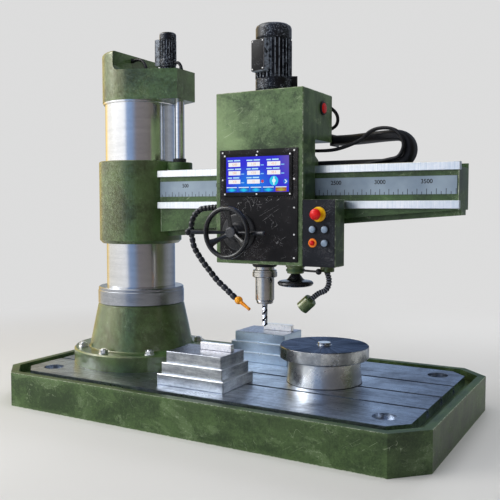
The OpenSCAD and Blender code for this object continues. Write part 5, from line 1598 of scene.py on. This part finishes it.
(x0, y0, z0), (x1, y1, z1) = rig.box("round_table_top")
PLUG = ((0, -24), (38.0, -24), (38.0, -1.5), (36.8, -0.6), (34.5, -0.6), (34.5, 12), (33, 13.5), (0, 13.5))
turned_piece("round_table_plug", PLUG, Matrix.Translation(((x0 + x1) / 2, (y0 + y1) / 2, z1)),
             round_base_steel, "round_table", steps=64, closed=False)
print("plug stands", PLUG[-1][1], "mm out of the table")
(x0, y0, z0), (x1, y1, z1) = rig.box("round_table_base")
foot = Matrix.Translation(((x0 + x1) / 2, (y0 + y1) / 2, z0))
wide, tall = (x1 - x0) / 2 / MM, (z1 - z0) / MM
turned_piece("round_table_skirt", ((wide + 0.3, 2.9), (wide + 1.0, 3.2), (wide - 8.0, tall - 13.2),
                                   (wide - 8.7, tall - 12.8)), foot, round_base_steel, "base")
turned_piece("round_table_seal", ((wide + 0.2, 0.2), (wide + 2.6, 0.2), (wide + 2.6, 2.2),
                                  (wide + 1.8, 2.8), (wide + 0.2, 2.8)), foot, rubber_black, "base")
print("skirt", round(wide + 1.0, 1), "to", round(wide - 8.0, 1), "mm in radius")

# %% [markdown]
# Figures stand over every fifth long stroke of the ruler. They are Blender's own letters, made
# a mesh first and only then stood upright and moved, so that the finished piece has its place
# in its mesh and its object stays at the origin.

# %% Ruler's figures
def stood_letters(body, words, tall, at, thick=0.0):
    """Adds letters to body, facing -Y, their middle at a point; all but body in millimetres."""
    curve = bpy.data.curves.new("letters", "FONT")
    curve.body, curve.size, curve.extrude = words, tall * 1.38 * MM, 0.00015
    curve.offset = thick * MM
    curve.align_x, curve.align_y = "CENTER", "CENTER"
    holder = bpy.data.objects.new("letters", curve)
    scene.collection.objects.link(holder)
    flat = bpy.data.meshes.new_from_object(holder.evaluated_get(bpy.context.evaluated_depsgraph_get()))
    bpy.data.objects.remove(holder)
    known = set(body.verts)
    body.from_mesh(flat)
    bpy.data.meshes.remove(flat)
    upright = Matrix.Translation(Vector(at) * MM) @ Matrix.Rotation(math.radians(90), 4, "X")
    bmesh.ops.transform(body, verts=[v for v in body.verts if v not in known], matrix=upright)


figures = bmesh.new()
plate_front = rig.box("ruler_plate")[0][1] / MM
for number in range(1, 8):
    along = (RULER_ZERO + 500 * number * RULER_UNIT) / MM
    stood_letters(figures, str(500 * number), 21, (along, plate_front - 0.16, 1244), 0.5)
piece("ruler_figures", figures, marking_ink, "arm", smooth=False)
print("ruler figures from", 500, "to", 500 * number)

# %% [markdown]
# The display's fields hold figures, made in the same way and laid a hair's breadth in front of
# the glass. As letters of their own they stay sharp however near the reader looks.

# %% Display's figures
figures = bmesh.new()
low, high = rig.box("screen")
FIELDS = (("1200", 0.137, 0.788), ("1.25", 0.445, 0.788), ("45.0", 0.763, 0.788),
          ("280", 0.137, 0.545), ("12.0", 0.445, 0.545), ("38.6", 0.763, 0.545),
          ("320", 0.137, 0.299), ("16", 0.445, 0.299))  # figure, shares of the width and height
for words, u, v in FIELDS:
    at = (low[0] + u * (high[0] - low[0]), low[1] - 0.16 * MM, low[2] + v * (high[2] - low[2]))
    stood_letters(figures, words, 12, Vector(at) / MM)
piece("display_figures", figures, figure_red, "head", smooth=False)
print("display figures", len(FIELDS))

# %% [markdown]
# The floor is one wide pale sheet. Near the drill it is lit as any floor and takes the
# shadows; a few metres away it passes into the even tone of the room, so that no horizon
# crosses the picture. How far a point is from the middle steers the mix of the two shaders.

# %% Floor
def lay_floor(tone):
    ground = bmesh.new()
    bmesh.ops.create_circle(ground, cap_ends=True, segments=96, radius=40.0)
    mesh = bpy.data.meshes.new("pale_floor")
    ground.to_mesh(mesh)
    ground.free()
    floor = bpy.data.objects.new("pale_floor", mesh)
    floor.location.z = -0.0005
    scene.collection.objects.link(floor)
    paint = Finish("pale_floor", roughness=0.9)
    x, y, z = paint.axes()
    far = off_axis(x, y).ramp(1.6, 4.6)
    paint.set("Base Color", paint.mix(paint.noise(paint.place(), 0.6), (tone * 0.98,) * 3 + (1,),
                                      (tone,) * 3 + (1,)))
    wall, seen = room_tone(paint.tree, paint.place().socket, tone, dimmed=0.7)
    glow = paint.node("ShaderNodeEmission", {}, {"Color": Wire(paint, wall), "Strength": 1.0})
    blend = paint.node("ShaderNodeMixShader", {},
                       {0: far, 1: Wire(paint, paint.shader.outputs[0]), 2: glow})
    paint.tree.links.new(blend.socket, paint.tree.nodes["Material Output"].inputs["Surface"])
    mesh.materials.append(paint.material)
    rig.stage(floor)
    print("floor", [round(v, 1) for v in floor.dimensions])


lay_floor(PALE)

# %% [markdown]
# Everything added should keep the CAD model's size. Both boxes are written down, the model's
# and the dressed part's, so that they can be compared after every change.

# %% Finish
with open("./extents.json", "w") as file:
    json.dump({"cad": [list(c) for c in cad_box], "visual": [list(c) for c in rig.bounds()]}, file)
